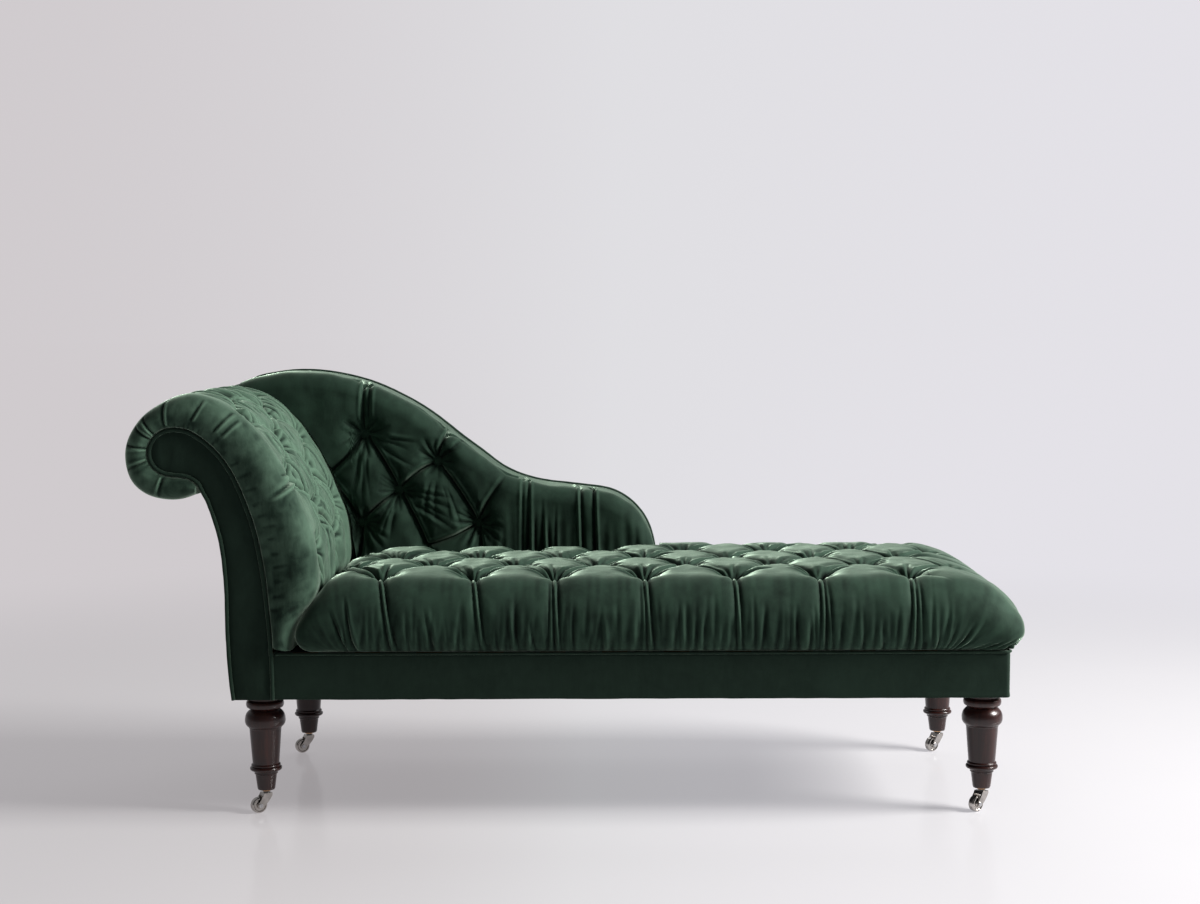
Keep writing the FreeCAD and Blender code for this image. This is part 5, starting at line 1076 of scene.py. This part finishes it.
def back_base():
    hump = natural(mm(HUMP), step=GAP)
    hump = hump[hump[:, 0] > -0.760]
    hump = hump[hump[:, 1] > 0.352]
    pad = natural(mm(PAD), step=0.002)
    pad = pad[(pad[:, 1] < 0.83) & (np.arange(len(pad)) < len(pad) * 0.55)]
    face = pad[pad[:, 1] > 0.50]
    zb = np.interp(hump[:, 0], face[::-1, 0], face[::-1, 1])
    zb = np.where(hump[:, 0] > -0.511, 0.352 + (0.50 - 0.352) * (1 - step_up(-0.511, -0.490, hump[:, 0])), zb)
    zb = np.minimum(zb - 0.004, hump[:, 1] - 0.0005)
    rows = int(0.50 / GAP)
    tau = np.linspace(0, 1, rows)
    edge = 0.036
    Xf = np.repeat(hump[:, :1], rows, 1)
    Zf = zb[:, None] + (hump[:, 1] - zb)[:, None] * tau[None]
    full = np.r_[hump, [[0.168, 0.34]]]
    d = np.full(Xf.shape, 9.0)
    for a, b in zip(full[:-1:2], full[2::2]):
        v = b - a
        k = np.clip(((Xf - a[0]) * v[0] + (Zf - a[1]) * v[1]) / (v @ v), 0, 1)
        d = np.minimum(d, np.hypot(Xf - a[0] - k * v[0], Zf - a[1] - k * v[1]))
    d[:, -1] = 0
    face_y, back_y = 0.198, 0.3205
    yr = face_y + edge * (1 - np.sqrt(np.clip(1 - (1 - np.clip(d / edge, 0, 1)) ** 2, 0, 1)))
    top_n = int((back_y - face_y - edge) / GAP) + 1
    yt = np.linspace(face_y + edge, back_y, top_n + 1)[1:]
    P = np.concatenate([np.stack([Xf, yr, Zf], -1), np.stack([np.repeat(hump[:, :1], top_n, 1), np.repeat(yt[None], len(hump), 0), np.repeat(hump[:, 1:], top_n, 1)], -1)], 1)
    # fabric coordinates: the face's own x and z, carried on over the edge along the outline's normal
    nrm = -left_of(hump)
    nrm = -nrm if nrm[len(nrm) // 3, 1] < 0 else nrm
    S = np.concatenate([Xf, hump[:, :1] + nrm[:, :1] * (yt[None] - face_y - edge + 0.02)], 1)
    T = np.concatenate([Zf, hump[:, 1:] + nrm[:, 1:] * (yt[None] - face_y - edge + 0.02)], 1)
    down = np.array([0.75, 0.5, 0.25, 0.0])
    zz = zb[:, None] + (hump[:, 1] - zb)[:, None] * down[None]
    rear = np.stack([np.repeat(hump[:, :1], 4, 1), np.full(zz.shape, back_y), zz], -1)
    ym = np.repeat(np.array([[0.29, 0.26, 0.23]]), len(hump), 0)
    under = np.stack([np.repeat(hump[:, :1], 3, 1), ym, np.repeat(zb[:, None], 3, 1)], -1)
    return P, S, T, np.concatenate([rear, under], 1), rows


def back_relief(S, T):
    R = Relief(S, T, 15)
    g = R.g
    B = BACK_DOTS
    links = {p: [] for p in B}
    for p in B:
        R.button(p[0], p[1], 0.031, 0.072, 2.5)

    def pleat(a, b, d0=0.0185, dm=0.0085, d1=0.0185, reach=0.040, bow=0.005, f0=0.0060, f1=0.0060, e0=0.06, e1=0.06, side=1, w=0.0030):
        R.valley(a, b, d0, dm, d1, reach, 2.0, bow)
        R.fold(a, b, f0, f1, w, 0.45, side, bow, e0, e1)
        if a in links:
            links[a].append(math.atan2(b[1] - a[1], b[0] - a[0]))
        if b in links:
            links[b].append(math.atan2(a[1] - b[1], a[0] - b[0]))

    hid, low = (-0.568, 0.640), (-0.345, 0.480)
    pleat(B[0], B[2], bow=0.007)
    pleat(B[1], B[2], side=-1, bow=-0.008)
    pleat(B[1], B[3], bow=0.006)
    pleat(B[2], B[4], bow=-0.006)
    pleat(B[2], low, d1=0.016)
    pleat(B[3], low, d1=0.016, side=-1)
    pleat(B[0], hid, d1=0.016)
    pleat(hid, B[4], d0=0.016)
    pleat(B[4], (-0.50, 0.44), dm=0.012, d1=0.008)
    pleat(low, (-0.34, 0.42), d0=0.018, dm=0.014, d1=0.010)
    pleat(B[3], (-0.225, 0.44), dm=0.010, d1=0.007, reach=0.044)
    # up over the edge
    pleat(B[0], (-0.480, 0.842), d0=0.018, dm=0.0075, d1=0.0045, reach=0.040, f1=0.0045, e1=0.0, bow=0.003)
    pleat((-0.480, 0.842), (-0.478, 0.93), d0=0.0045, dm=0.0030, d1=0.002, reach=0.030, f0=0.0045, f1=0.0030, e0=0.0, e1=0.2, bow=0.0)
    R.fold((-0.472, 0.752), (-0.462, 0.91), 0.0040, 0.0034, 0.0028, 0.45, -1, 0.002, 0.2, 0.2)
    pleat(B[1], (-0.292, 0.735), d0=0.018, dm=0.010, d1=0.006, reach=0.044, f1=0.0050, e1=0.0)
    pleat((-0.292, 0.735), (-0.26, 0.79), d0=0.006, dm=0.004, d1=0.002, reach=0.030, f0=0.0050, f1=0.0026, e0=0.0, e1=0.2, bow=0.0)
    R.fold(B[1], (-0.258, 0.718), 0.0050, 0.0030, 0.0028, 0.45, 1, 0.004, 0.2, 0.3)
    pleat(B[3], (-0.165, 0.640), d0=0.016, dm=0.006, d1=0.003, reach=0.036, f1=0.0026, e1=0.2)
    # upright pleats of the low arm, in two groups
    for x, lean, deep, zlo, zhi, side, f0, f1 in ((-0.131, 0.004, 0.0030, 0.43, 0.69, 1, 0.0, 0.1), (-0.118, 0.003, 0.0036, 0.43, 0.69, -1, 0.0, 0.1), (-0.102, 0.001, 0.0046, 0.44, 0.575, 1, 0.0, 0.7),
                                                   (-0.083, -0.004, 0.0034, 0.43, 0.600, -1, 0.0, 0.6), (-0.070, -0.003, 0.0050, 0.44, 0.560, 1, 0.0, 0.7), (-0.058, 0.002, 0.0030, 0.44, 0.585, -1, 0.1, 0.7),
                                                   (0.006, -0.007, 0.0060, 0.43, 0.68, 1, 0.0, 0.05), (0.033, -0.006, 0.0060, 0.43, 0.67, -1, 0.0, 0.05)):
        R.fold((x, zlo), (x + lean, zhi), deep, deep * 0.8, 0.0024, 0.55, side, 0.001, f0, f1)
    # tension folds from button to button and towards the seat
    for a, b, n, spread in ((B[0], B[1], 3, 0.020), (B[0], B[4], 3, 0.018), (B[1], (-0.30, 0.45), 4, 0.020), (B[2], B[3], 4, 0.018), (B[4], (-0.44, 0.45), 4, 0.018), (B[2], (-0.46, 0.46), 3, 0.016), (B[3], (-0.17, 0.46), 4, 0.018), (B[3], (-0.28, 0.45), 3, 0.016)):
        for k in range(n):
            f0, f1 = g.uniform(0.10, 0.3), g.uniform(0.55, 0.9)
            o = (k - (n - 1) / 2) * spread
            vx, vz = b[0] - a[0], b[1] - a[1]
            ln = math.hypot(vx, vz)
            px, pz = -vz / ln, vx / ln
            R.fold((a[0] + vx * f0 + px * o * 0.5, a[1] + vz * f0 + pz * o * 0.5), (a[0] + vx * f1 + px * o * 1.4, a[1] + vz * f1 + pz * o * 1.4), g.uniform(0.0022, 0.0040), 0.0012, g.uniform(0.0030, 0.0044), 0.5, g.choice([-1, 1]), g.uniform(-0.006, 0.006), 0.25, 0.55)
    # soft upright gathers of the arm
    s = -0.22
    while s < 0.15:
        s += g.uniform(0.016, 0.030)
        R.soft((s, 0.44), (s + g.uniform(-0.008, 0.008), g.uniform(0.52, 0.62)), g.uniform(0.0010, 0.0024), 0.0010, g.uniform(0.0050, 0.0085), 0.0, 0.05, 0.6)
    for p in B:
        R.star(p[0], p[1], links[p], 17, 0.058, 0.0044)
    wr = 0.0010 * soft_noise(S, T, 0.035, 135) + 0.0015 * soft_noise(S, T, 0.09, 136)
    return R, wr


def back_pad():
    P, S, T, around, rows = back_base()
    R, wr = back_relief(S, T)
    deep = R.depth(0.0335)
    N = grid_normals(P)
    if N[len(N) // 2, rows // 2, 1] > 0:
        N = -N
    keep = np.clip((P[..., 1][:, -1:] - P[..., 1]) / 0.012, 0, 1) * 0.8 + 0.2
    H = (-(deep + R.crisp * (1 - 0.35 * np.clip(deep / 0.0335, 0, 1))) + wr) * keep
    Q = P + N * H[..., None]
    pinned = np.clip(np.exp(-R.near / 0.003) * 0.8, 0, 0.8)
    for bs, bt in R.dots:
        pinned = np.maximum(pinned, (np.hypot(S - bs, T - bt) < 0.011).astype(float))
    pinned[0, :] = pinned[-1, :] = pinned[:, 0] = pinned[:, -1] = 1
    Q = cloth(Q, pinned, Q.copy(), 14, np.full(S.shape, 0.012), np.full(S.shape, 0.012), np.full(S.shape, 0.0), np.full(S.shape, 0.10), 0.0)
    n, m, _ = Q.shape
    test = np.cross(Q[n // 2 + 1, rows // 2] - Q[n // 2, rows // 2], Q[n // 2, rows // 2 + 1] - Q[n // 2, rows // 2])
    obj = closed_mesh("back_pad_velvet", Q, around=around, flip=bool(test[1] > 0))
    # painted shade in the tuft hollows and crease lines, painted highlights on the ridges beside them; the rest is the
    # pile's random tone
    nap_and_shade = 0.5 + 0.15 * soft_noise(S, T, 0.045, 141) + 0.14 * soft_noise(S, T, 0.016, 142) - 0.16 * np.clip(deep / 0.033, 0, 1) - 0.44 * lines(R)
    paint(obj, "nap_and_shade", np.concatenate([np.clip(nap_and_shade, 0, 1), np.full((len(nap_and_shade), around.shape[1]), 0.5)], 1))
    places = []
    for x, z in BACK_DOTS:
        i, j = np.unravel_index(np.argmin(np.hypot(S - x, T - z)), S.shape)
        places.append((tuple(Q[i, j] + np.array([0, -0.002, 0])), (0, -1, 0)))
    return obj, places


back, back_places = back_pad()
dress(back, V_BACK, "velvet", "back_cover", "back_foam")
back_buttons = button_mesh("back_buttons_velvet", back_places, 0.0108, 8)
dress(back_buttons, V_KNOB, "button_velvet", "back_buttons")


# =====================================================================================================================
# flat covers, facing and band
# =====================================================================================================================
def filled(name, outline, height, spacing, plane_y, out_sign, thick=0.0015):
    """A sheet that fills a closed outline in the XZ plane. height gives how far it stands out at x, z and distance from the edge."""
    o = np.array(outline)
    lo, hi = o.min(0), o.max(0)
    gx, gz = np.meshgrid(np.arange(lo[0], hi[0], spacing), np.arange(lo[1], hi[1], spacing * 0.866), indexing="ij")
    gx = gx + (np.arange(gz.shape[1]) % 2)[None] * spacing * 0.5
    pts = np.stack([gx.ravel(), gz.ravel()], 1)
    nxt = np.roll(o, -1, 0)
    inside = np.zeros(len(pts), bool)
    d = np.full(len(pts), 9.0)
    for a, b in zip(o, nxt):
        cond = (a[1] > pts[:, 1]) != (b[1] > pts[:, 1])
        with np.errstate(divide="ignore", invalid="ignore"):
            xx = (b[0] - a[0]) * (pts[:, 1] - a[1]) / (b[1] - a[1]) + a[0]
        inside ^= cond & (pts[:, 0] < xx)
        v = b - a
        k = np.clip(((pts - a) @ v) / (v @ v + 1e-12), 0, 1)
        d = np.minimum(d, np.hypot(*(pts - a - k[:, None] * v).T))
    pts = pts[inside & (d > spacing * 0.55)]
    dd = d[inside & (d > spacing * 0.55)]
    rings = [o]
    n = len(o)
    allp = np.r_[o, pts]
    dist = np.r_[np.zeros(n), dd]
    edges = [(i, (i + 1) % n) for i in range(n)]
    vs, es, fs, ov, oe, of = delaunay_2d_cdt([Vector((float(a), float(b))) for a, b in allp], edges, [], 1, 1e-6)
    v2 = np.array([[v.x, v.y] for v in vs])
    src = np.array([q[0] if q else 0 for q in ov])
    ds = dist[src]
    h = height(v2[:, 0], v2[:, 1], ds)
    front = np.stack([v2[:, 0], plane_y + out_sign * h, v2[:, 1]], 1)
    faces = [tuple(f) for f in fs]
    a, b, c = (front[i] for i in faces[0][:3])
    if np.cross(b - a, c - a)[1] * out_sign < 0:
        faces = [f[::-1] for f in faces]
    return mesh_from(name, front, faces)


def offset(pts, d):
    return pts + left_of(pts) * d


inner = natural(mm(INNER), step=0.004)
outer = natural(mm(OUTER), step=0.006)
fi = offset(inner, 0.0022)
fo = offset(outer, 0.0022)
facing_line = np.r_[fi[:-1], fo[1:]]
facing_line[0, 1] = facing_line[-1, 1] = 0.2366


def facing_height(x, z, d):
    crown = 0.0040 * (1 - np.exp(-d / 0.010))
    eye = np.exp(-(((x + 0.787) / 0.040) ** 2 + ((z - 0.727) / 0.042) ** 2))
    crease = folds(x, z, 0.0095, 151, 1.2) * 0.0012 * eye
    long_ = 0.0007 * soft_noise(x * 2.2, z, 0.055, 152) + 0.0004 * soft_noise(x, z, 0.018, 153)
    return crown + crease + long_ * np.clip(d / 0.008, 0, 1)


facing = filled("scroll_facing_velvet", facing_line, facing_height, 0.0045, -0.3238, -1)
dress(facing, V_FLAT, "velvet", "scroll_facing_front")

# rear panel
out_r = natural(mm(OUTER[::-1])[:-2], step=0.008)
curl = natural(mm(PAD[::-1][:14]), step=0.006)
curl = curl[curl[:, 0] < -0.748]
hump_r = natural(mm(HUMP), step=0.008)
hump_r = hump_r[hump_r[:, 0] > curl[-1, 0] + 0.012]
rear_line = np.r_[offset(out_r, -0.0022), [[-0.7375, 0.6535]], offset(curl, -0.0022), offset(hump_r, -0.0022)]
rear_line[0, 1] = 0.2366
rear_line = np.r_[rear_line, [[0.1655, 0.2366]]]


def rear_height(x, z, d):
    crown = 0.0030 * (1 - np.exp(-d / 0.025))
    sag = 0.0011 * soft_noise(x, z, 0.16, 161) + 0.0006 * soft_noise(x, z * 0.5, 0.05, 162)
    pull = 0.0010 * folds(x, z, 0.045, 163, 1.4) * np.exp(-((z - 0.30) / 0.09) ** 2)
    return crown + (sag + pull) * np.clip(d / 0.02, 0, 1)


rear = filled("outside_back_velvet", rear_line, rear_height, 0.011, 0.3232, 1)
dress(rear, V_FLAT, "velvet", "outside_back_cover")

# outside of the head rest, from the nook under the scroll down to the rail's underside
oc = natural(mm(OUTER)[1:], step=0.006)
oc = oc[oc[:, 1] < 0.6392]
oc = np.r_[oc, [[-0.6765, 0.2366]]]
ys = np.linspace(-0.3215, 0.3215, 90)
Pu = np.repeat(oc[:, None, :], len(ys), 1)
nl = left_of(oc)
yg = np.repeat(ys[None], len(oc), 0)
sg = np.repeat(arc(oc)[:, None], len(ys), 1)
bul = 0.0022 * np.cos(np.clip(yg / 0.3215, -1, 1) * math.pi / 2) ** 0.6 + 0.0009 * soft_noise(yg, sg, 0.09, 171) + 0.0004 * soft_noise(yg, sg, 0.03, 172)
bul = bul * np.clip((0.3215 - np.abs(yg)) / 0.02, 0, 1)
hx = Pu[..., 0] - nl[:, None, 0] * (bul - 0.0008)
hz = Pu[..., 1] - nl[:, None, 1] * (bul - 0.0008)
hp = np.stack([hx, yg, hz], -1)
head_out = fast_mesh("head_outside_velvet", hp.reshape(-1, 3), quads(*hp.shape[:2]))
if head_out.data.polygons[len(head_out.data.polygons) // 2].normal.x > 0:
    head_out.data.flip_normals()
dress(head_out, V_FLAT, "velvet", "head_outside_cover")


def rail_band():
    """One strip of velvet round the rail, from the facing along the front, round the foot end and back to the shaped back."""
    r = 0.0095
    pts = [(-0.5990, -0.325)]
    pts += [(x, -0.325) for x in np.arange(-0.588, 0.853 - r, 0.006)]
    pts += [(0.853 - r + r * math.sin(a), -0.325 + r - r * math.cos(a)) for a in np.linspace(0, math.pi / 2, 9)]
    pts += [(0.853, y) for y in np.arange(-0.325 + r + 0.006, 0.325 - r, 0.006)]
    pts += [(0.853 - r + r * math.cos(a), 0.325 - r + r * math.sin(a)) for a in np.linspace(0, math.pi / 2, 9)]
    pts += [(x, 0.325) for x in np.arange(0.853 - r - 0.006, 0.176, -0.006)] + [(0.1698, 0.325)]
    path = np.array(pts)
    s = arc(path)
    nl = -left_of(path)
    prof = [(-0.012, 0.2371), (-0.004, 0.2365), (-0.0008, 0.2372), (0.0, 0.2392)] + [(0.0, z) for z in np.linspace(0.2435, 0.3205, 22)] + [(-0.0004, 0.3232), (-0.0012, 0.3256), (-0.0024, 0.3280), (-0.0045, 0.32875), (-0.012, 0.3288), (-0.030, 0.3289), (-0.060, 0.3290)]
    prof = np.array(prof)
    S_, K = np.meshgrid(s, prof[:, 1], indexing="ij")
    d = np.repeat(prof[None, :, 0], len(s), 0)
    body = np.clip((K - 0.238) / 0.01, 0, 1) * np.clip((0.326 - K) / 0.01, 0, 1)
    d = d + body * (0.0007 * soft_noise(S_, K, 0.11, 181) + 0.00035 * soft_noise(S_, K, 0.022, 182) - 0.0006)
    z = K + 0.0004 * soft_noise(S_, 0 * S_, 0.035, 183) * (K < 0.24)
    x = path[:, :1] + nl[:, :1] * d
    y = path[:, 1:] + nl[:, 1:] * d
    p = np.stack([x, y, z], -1)
    o = fast_mesh("rail_band_velvet", p.reshape(-1, 3), quads(*p.shape[:2]))
    n0 = o.data.polygons[len(o.data.polygons) // 6].normal
    if n0.y > 0:
        o.data.flip_normals()
    return o


band = rail_band()
dress(band, V_FLAT, "velvet", "rail_band")


def piping(name, pts, r, seed, closed=False):
    """Covered cord: a tube that swells and thins a little, with the flat seam allowance left out of sight."""
    p = natural(pts, step=0.0035)
    t = np.gradient(p, axis=0)
    t = t / np.linalg.norm(t, axis=1, keepdims=True)
    up = np.array([0.0, 1.0, 0.0]) if np.abs(t[:, 1]).max() < 0.8 else np.array([0.0, 0.0, 1.0])
    a = np.cross(t, up)
    a = a / np.linalg.norm(a, axis=1, keepdims=True)
    b = np.cross(t, a)
    seg = 12
    th = np.linspace(0, 2 * math.pi, seg, endpoint=False)
    s = arc(p)
    rr = r * (1 + 0.05 * soft_noise(s[:, None], th[None] * 0.004, 0.012, seed) + 0.03 * soft_noise(s[:, None], th[None] * 0.0, 0.05, seed + 1))
    q = p[:, None] + (a[:, None] * np.cos(th)[None, :, None] + b[:, None] * np.sin(th)[None, :, None]) * rr[..., None]
    faces = [tuple(f) for f in quads(len(p), seg, close_v=True)]
    faces += [tuple(range(seg)), tuple(range(len(p) * seg - 1, (len(p) - 1) * seg - 1, -1))]
    o = mesh_from(name, q.reshape(-1, 3), faces)
    bm_fix(o)
    return o


def bm_fix(o):
    import bmesh
    bm = bmesh.new()
    bm.from_mesh(o.data)
    bmesh.ops.recalc_face_normals(bm, faces=bm.faces)
    bm.to_mesh(o.data)
    bm.free()


fp = mm(INNER[:-1] + [(-738, 665), (-731, 651)] + OUTER[1:])
pipe1 = piping("facing_piping_velvet", np.stack([fp[:, 0], np.full(len(fp), -0.3262), fp[:, 1]], 1), 0.0040, 191)
dress(pipe1, V_PIPE, "piping", "facing_piping")
cu = mm([p for p in PAD[::-1][:14] if p[0] < -750])
hu = mm([p for p in HUMP if p[0] > cu[-1, 0] * 1000 + 12])
rp = np.r_[mm([p for p in OUTER[::-1] if p[1] < 625]), [[-0.737, 0.651]], cu, hu, [[0.168, 0.2366]]]
pipe2 = piping("outside_back_piping_velvet", np.stack([rp[:, 0], np.full(len(rp), 0.3265), rp[:, 1]], 1), 0.0040, 195)
dress(pipe2, V_PIPE, "piping", "outside_back_piping")
zt = 0.3278
yy, xr = 0.3249, 0.8529
pipe3 = piping("rail_piping_velvet", [(-0.593, -yy, zt)] + [(x, -yy, zt) for x in np.linspace(-0.55, 0.83, 30)] + [(xr - 0.006, -yy + 0.0006, zt), (xr - 0.0006, -yy + 0.006, zt)]
               + [(xr, y, zt) for y in np.linspace(-0.30, 0.30, 14)] + [(xr - 0.0006, yy - 0.006, zt), (xr - 0.006, yy - 0.0006, zt)] + [(x, yy, zt) for x in np.linspace(0.83, 0.178, 16)], 0.0026, 199)
dress(pipe3, V_PIPE, "piping", "rail_piping")

# =====================================================================================================================
# floor, light, camera
# =====================================================================================================================
scene = bpy.context.scene
scene.view_settings.view_transform = "Standard"
scene.view_settings.look = "None"
scene.view_settings.exposure = 0.0

# what lies behind is a pale sweep, a little lighter to the right
SWEEP = [(0.0, (0.630, 0.597, 0.616)), (0.5, (0.742, 0.735, 0.763)), (1.0, (0.775, 0.760, 0.805))]


def sweep_colour(nt, direction):
    sep = nt.nodes.new("ShaderNodeSeparateXYZ")
    nt.links.new(direction, sep.inputs[0])
    mr = nt.nodes.new("ShaderNodeMapRange")
    mr.inputs["From Min"].default_value = -0.34
    mr.inputs["From Max"].default_value = 0.34
    mr.interpolation_type = "SMOOTHSTEP"
    nt.links.new(sep.outputs[0], mr.inputs[0])
    return ramp(nt, mr.outputs[0], SWEEP)


fm, nt, b = material("pale_floor")
tc = add(nt, "ShaderNodeTexCoord")
nz = add(nt, "ShaderNodeTexNoise", Scale=1.3, Detail=3.0)
nt.links.new(tc.outputs["Object"], nz.inputs["Vector"])
nt.links.new(ramp(nt, nz.outputs[0], [(0.3, (0.640, 0.634, 0.643)), (0.7, (0.662, 0.655, 0.665))]), b.inputs["Base Color"])
b.inputs["Roughness"].default_value = 0.14
b.inputs["Specular IOR Level"].default_value = 0.40
# far away the floor melts into the sweep
ob = add(nt, "ShaderNodeVectorMath", operation="LENGTH")
nt.links.new(tc.outputs["Object"], ob.inputs[0])
mr = add(nt, "ShaderNodeMapRange")
mr.inputs["From Min"].default_value = 1.3
mr.inputs["From Max"].default_value = 4.0
mr.inputs["To Min"].default_value = 0.50
mr.interpolation_type = "SMOOTHSTEP"
nt.links.new(ob.outputs["Value"], mr.inputs[0])
# direction from the middle of the floor, eased where it would turn over at once
sq = add(nt, "ShaderNodeMath", operation="MULTIPLY")
nt.links.new(ob.outputs["Value"], sq.inputs[0])
nt.links.new(ob.outputs["Value"], sq.inputs[1])
sq1 = add(nt, "ShaderNodeMath", operation="ADD")
nt.links.new(sq.outputs[0], sq1.inputs[0])
sq1.inputs[1].default_value = 1.44
sq2 = add(nt, "ShaderNodeMath", operation="INVERSE_SQRT")
nt.links.new(sq1.outputs[0], sq2.inputs[0])
unit = add(nt, "ShaderNodeVectorMath", operation="SCALE")
nt.links.new(tc.outputs["Object"], unit.inputs[0])
nt.links.new(sq2.outputs[0], unit.inputs["Scale"])
em = add(nt, "ShaderNodeEmission")
nt.links.new(sweep_colour(nt, unit.outputs[0]), em.inputs[0])
em.inputs[1].default_value = 1.0
mx = add(nt, "ShaderNodeMixShader")
nt.links.new(mr.outputs[0], mx.inputs[0])
nt.links.new(b.outputs[0], mx.inputs[1])
nt.links.new(em.outputs[0], mx.inputs[2])
outn = next(n for n in nt.nodes if n.type == "OUTPUT_MATERIAL")
nt.links.new(mx.outputs[0], outn.inputs[0])
th = np.linspace(0, 2 * math.pi, 97)[:-1]
ringr = [0.0, 0.8, 2.0, 4.0, 8.0, 20.0, 90.0]
fv = [(0, 0, 0)]
ff = []
for r in ringr[1:]:
    fv += [(r * math.cos(a), r * math.sin(a), 0) for a in th]
ff += [(0, 1 + k, 1 + (k + 1) % 96) for k in range(96)]
for j in range(len(ringr) - 2):
    for k in range(96):
        p, q = 1 + j * 96, 1 + (j + 1) * 96
        ff.append((p + k, q + k, q + (k + 1) % 96, p + (k + 1) % 96))
floor = mesh_from("floor", fv, ff)
floor.data.materials.append(fm)

world = bpy.data.worlds.new("studio")
scene.world = world
world.use_nodes = True
wn = world.node_tree
wn.nodes.clear()
wo = wn.nodes.new("ShaderNodeOutputWorld")
wtc = wn.nodes.new("ShaderNodeTexCoord")
seen = wn.nodes.new("ShaderNodeBackground")
wn.links.new(sweep_colour(wn, wtc.outputs["Generated"]), seen.inputs[0])
# the room lights the couch mostly from behind and from above, and least from the camera's side
lit = wn.nodes.new("ShaderNodeBackground")
sep = wn.nodes.new("ShaderNodeSeparateXYZ")
wn.links.new(wtc.outputs["Generated"], sep.inputs[0])
wr_ = wn.nodes.new("ShaderNodeMapRange")
wr_.inputs["From Min"].default_value = -0.7
wr_.inputs["From Max"].default_value = 0.8
wr_.interpolation_type = "SMOOTHSTEP"
wn.links.new(sep.outputs[1], wr_.inputs[0])
wn.links.new(ramp(wn, wr_.outputs[0], [(0.0, (0.085, 0.085, 0.087)), (1.0, (0.33, 0.326, 0.335))]), lit.inputs[0])
wmix = wn.nodes.new("ShaderNodeMixShader")
wlp = wn.nodes.new("ShaderNodeLightPath")
wn.links.new(wlp.outputs["Is Camera Ray"], wmix.inputs[0])
wn.links.new(lit.outputs[0], wmix.inputs[1])
wn.links.new(seen.outputs[0], wmix.inputs[2])
wn.links.new(wmix.outputs[0], wo.inputs[0])


def area(name, at, to, size, power, color=(1, 1, 1), size_y=None):
    l = bpy.data.lights.new(name, "AREA")
    l.energy = power
    l.color = color
    l.shape = "RECTANGLE"
    l.size = size
    l.size_y = size_y or size
    o = bpy.data.objects.new(name, l)
    scene.collection.objects.link(o)
    o.location = at
    o.rotation_euler = (Vector(to) - Vector(at)).to_track_quat("-Z", "Y").to_euler()
    return o


area("key", (4.5, -0.9, 3.1), (-0.2, 0.0, 0.50), 2.0, 680, (1.0, 0.985, 0.965), 2.0)
area("top", (0.6, 2.6, 3.4), (0.1, 0.0, 0.4), 2.6, 25, (0.98, 0.99, 1.0), 1.8)

cam_data = bpy.data.cameras.new("camera")
cam = bpy.data.objects.new("camera", cam_data)
scene.collection.objects.link(cam)
cam_data.sensor_fit = "HORIZONTAL"
cam_data.sensor_width = 36.0
cam_data.lens = 1938.5 / 1200 * 36.0
cam_data.clip_end = 200
yaw, pitch, rollr = math.radians(0.546), math.radians(3.921), math.radians(-0.283)
fw = Vector((-math.sin(yaw) * math.cos(pitch), math.cos(yaw) * math.cos(pitch), -math.sin(pitch)))
rt = Vector((math.cos(yaw), math.sin(yaw), 0))
up = rt.cross(fw)
r2 = rt * math.cos(rollr) + up * math.sin(rollr)
u2 = -rt * math.sin(rollr) + up * math.cos(rollr)
cam.matrix_world = Matrix(((r2.x, u2.x, -fw.x, 0.084), (r2.y, u2.y, -fw.y, -4.098), (r2.z, u2.z, -fw.z, 0.983), (0, 0, 0, 1)))
scene.camera = cam

bpy.context.view_layer.update()
